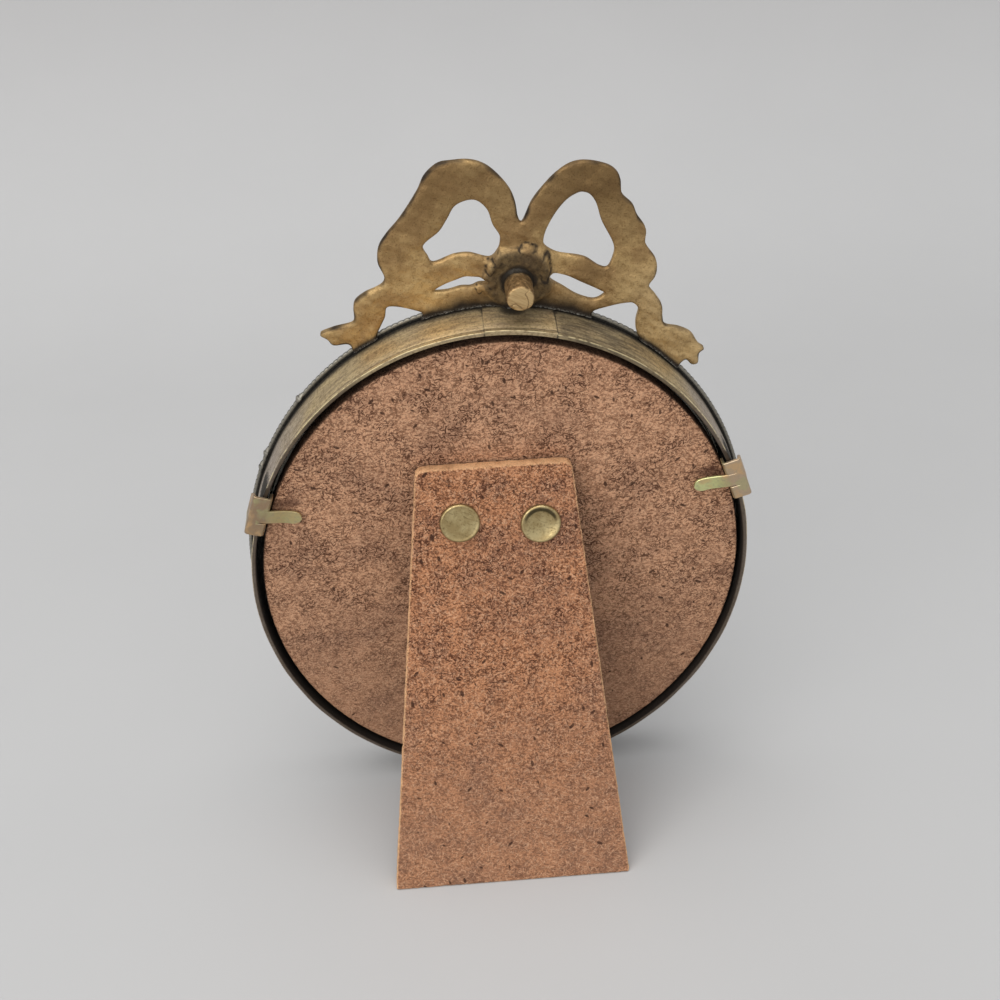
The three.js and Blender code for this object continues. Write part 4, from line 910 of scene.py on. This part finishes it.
def clip_strips():
    """The clip's strips: the outer side, narrowing to its skirt, with half the crown, a short tab each side
    of the finger, folded down inside the band, and the finger, which dips from the crown to the board as a
    smooth step."""
    half = CLIP_GAUGE / 2
    crown, outer, inner = CLIP_SEAT + half, CLIP_OUTER - half, CLIP_INNER + half
    corner = 0.36
    start = np.array([[outer + 0.1, CLIP_SKIRT], [outer, CLIP_SKIRT + 0.8], [outer, crown - corner - 0.6]])
    outer_side = np.vstack([start, bend((outer - corner, crown - corner), corner, 0, 90), [[0.05, crown]]])
    fold_in = bend((inner + corner, crown - corner), corner, 90, 180)
    tab = np.vstack([[[0.05, crown], [-0.5, crown]], fold_in, [[inner, CLIP_SEAT - 0.6], [inner, TAB_END]]])
    s = np.linspace(0, 1, 40)
    ease = np.clip(s / 0.8, 0, 1)
    reach = 0.05 + s * (-FINGER_REACH - 0.05)
    low = FINGER_SEAT + half
    dip = low + (crown - low) * (1 - ease ** 2 * (3 - 2 * ease))
    finger = np.stack([reach, dip], -1)
    to_tip = FINGER_REACH + reach
    wide = FINGER_HALF * np.sqrt(np.clip(1 - np.clip(1 - to_tip / 1.5, 0, 0.995) ** 2, 0, 1))
    edge = CLIP_LENGTH / 2
    fallen = (crown - corner - outer_side[:, 1]) / (crown - corner - CLIP_SKIRT)
    skirt_edge = edge - SKIRT_TAPER * np.clip(fallen, 0, 1)
    strips = ((outer_side, -skirt_edge, skirt_edge, 1), (tab, FINGER_HALF + SLIT, edge, 1),
              (tab, -edge, -FINGER_HALF - SLIT, 1), (finger, -wide, wide, 0.9))
    return [folded(path, low, high, CLIP_GAUGE * share) for path, low, high, share in strips]


zinc = Finish("yellow_zinc")
film = zinc.noise(0.3, 2, 0.5, warp=0.6)
brushed = zinc.noise(1.0, 3, 0.5, zinc.turned(0.1, (0.4, 5, 5)))
worn_spot = zinc.noise(1.8, 4, 0.6)
inward_reach = zinc.mark("reach")
plating = (zinc.blend(inward_reach.from_to(0.6, 3.2), (190, 167, 140), (192, 175, 128))
           .coat(zinc.x.from_to(10, -10) * inward_reach.from_to(1, 4) * 0.85, (212, 216, 157))
           # The left clip's crown is painted darker, as shade.
           .deepened(zinc.x.from_to(0, 20) * inward_reach.from_to(2.5, 0.8) * 0.6, (186, 172, 156))
           .coat(film.from_to(0.52, 0.64) * 0.5, (182, 182, 134))
           .coat(film.from_to(0.46, 0.34) * 0.6, (214, 176, 128))
           .coat(worn_spot.from_to(0.5, 0.7) * 0.45, (166, 156, 136)))
zinc.wear(Base_Color=plating, Metallic=0.95, Roughness=0.32 + 0.16 * brushed + 0.1 * worn_spot,
          Normal=zinc.raised(brushed * 0.6 + worn_spot * 0.5, 0.05))
for side, turn in CLIPS:
    facing = atan2(HALF_WIDTH * sin(turn), HALF_HEIGHT * cos(turn))
    clip_x, clip_up = oval(turn, 0)
    shells, reach = [], []
    for points, faces in clip_strips():
        out, back, along = points.T
        reach.append(-out)
        x = clip_x + out * cos(facing) - along * sin(facing)
        up = clip_up + out * sin(facing) + along * cos(facing)
        shells.append(outward(leaned(np.stack([x, back, up], -1)), faces))
    put(f"{side}_clip", shells, zinc, f"{side}_clip", [f"clip_{side}"],
        {"reach": np.concatenate(reach)}, crease=30)

# Studio: a pale sweep of painted card that curves up behind the frame, a soft lamp above to the side,
# another overhead, and an even sky.
FLOOR_FRONT, FLOOR_BACK, SWEEP_RADIUS, WALL_TOP, SWEEP_HALF = 1600, -200, 300, 1600, 1800
SKY_COLOUR, SKY_STRENGTH = (0.97, 0.985, 1.0, 1), 0.83


def sweep():
    """A floor in mm that runs level, turns up a quarter circle and goes on as a wall, drawn out sideways."""
    bow_up = np.linspace(-pi / 2, -pi, 24)
    floor_run = np.stack([np.linspace(FLOOR_FRONT, FLOOR_BACK, 10), np.zeros(10)], -1)
    rise = [FLOOR_BACK, SWEEP_RADIUS] + SWEEP_RADIUS * np.stack([np.cos(bow_up), np.sin(bow_up)], -1)
    line = np.vstack([floor_run[:-1], rise, [[FLOOR_BACK - SWEEP_RADIUS, WALL_TOP]]])
    x = np.array([SWEEP_HALF, -SWEEP_HALF])[:, None]
    points = np.stack([x + 0 * line[:, 0], line[:, 0] + 0 * x, line[:, 1] + 0 * x], -1).reshape(-1, 3)
    return points, [quads(2, len(line))[:, ::-1]]


paint = Finish("sweep_card")
mist = paint.noise(0.02, 3, 0.5)
height = paint.node("SeparateXYZ", {}, {0: paint.node("TexCoord", {}, {}, "Object")}, 2)
# The card is painted darker as it rises, as shade away from the lamps.
pale = paint.blend(height.from_to(0.0, 0.12), (177, 177, 177), (160, 159, 159))
paint.wear(Base_Color=pale.deepened(mist * 0.06, (150, 150, 150)), Roughness=0.85 + 0.1 * mist)
sweep_card = made("sweep", [sweep()], paint)

scene = bpy.context.scene
scene.view_settings.view_transform = "Standard"
sky = bpy.data.worlds.new("even_sky")
scene.world = sky
sky.use_nodes = True
background = sky.node_tree.nodes["Background"].inputs
background["Color"].default_value, background["Strength"].default_value = SKY_COLOUR, SKY_STRENGTH


def lamp(name, place, aim, size, power, colour):
    """A square soft lamp at a place, turned to face a point."""
    light = bpy.data.lights.new(name, "AREA")
    light.shape, light.size, light.energy, light.color = "SQUARE", size, power, colour
    holder = bpy.data.objects.new(name, light)
    holder.location = place
    holder.rotation_euler = (Vector(aim) - Vector(place)).to_track_quat("-Z", "Y").to_euler()
    scene.collection.objects.link(holder)


lamp("key_lamp", (0.7, 1.05, 0.62), (0, 0, 0.05), size=0.9, power=7.5, colour=(1.0, 0.975, 0.945))
lamp("top_lamp", (0.15, 0.3, 1.2), (0, 0, 0.05), size=1.0, power=9.8, colour=(1.0, 0.985, 0.97))

# Camera: a phone held above and behind the frame, tipped down at it and a little askew.
LENS, SENSOR, CAMERA_AWAY = 50.4, 36, 260.05
CAMERA_RISE, CAMERA_SIDE, CAMERA_ROLL = radians(30.49), radians(-3.36), radians(-2.06)
LOOK_AT = Vector((-0.79, -11.5984, 64.59))
towards = Vector((-sin(CAMERA_SIDE) * cos(CAMERA_RISE), cos(CAMERA_SIDE) * cos(CAMERA_RISE),
                  sin(CAMERA_RISE)))
right = Vector((-cos(CAMERA_SIDE), -sin(CAMERA_SIDE), 0))
above = towards.cross(right)
across = right * cos(CAMERA_ROLL) + above * sin(CAMERA_ROLL)
upward = above * cos(CAMERA_ROLL) - right * sin(CAMERA_ROLL)
view = bpy.data.cameras.new("camera")
view.sensor_width, view.lens, view.clip_start = SENSOR, LENS, 0.01
camera = bpy.data.objects.new("camera", view)
camera.matrix_world = Matrix((across, upward, towards)).transposed().to_4x4()
camera.location = (LOOK_AT + towards * CAMERA_AWAY) / 1000
scene.collection.objects.link(camera)
scene.camera = camera
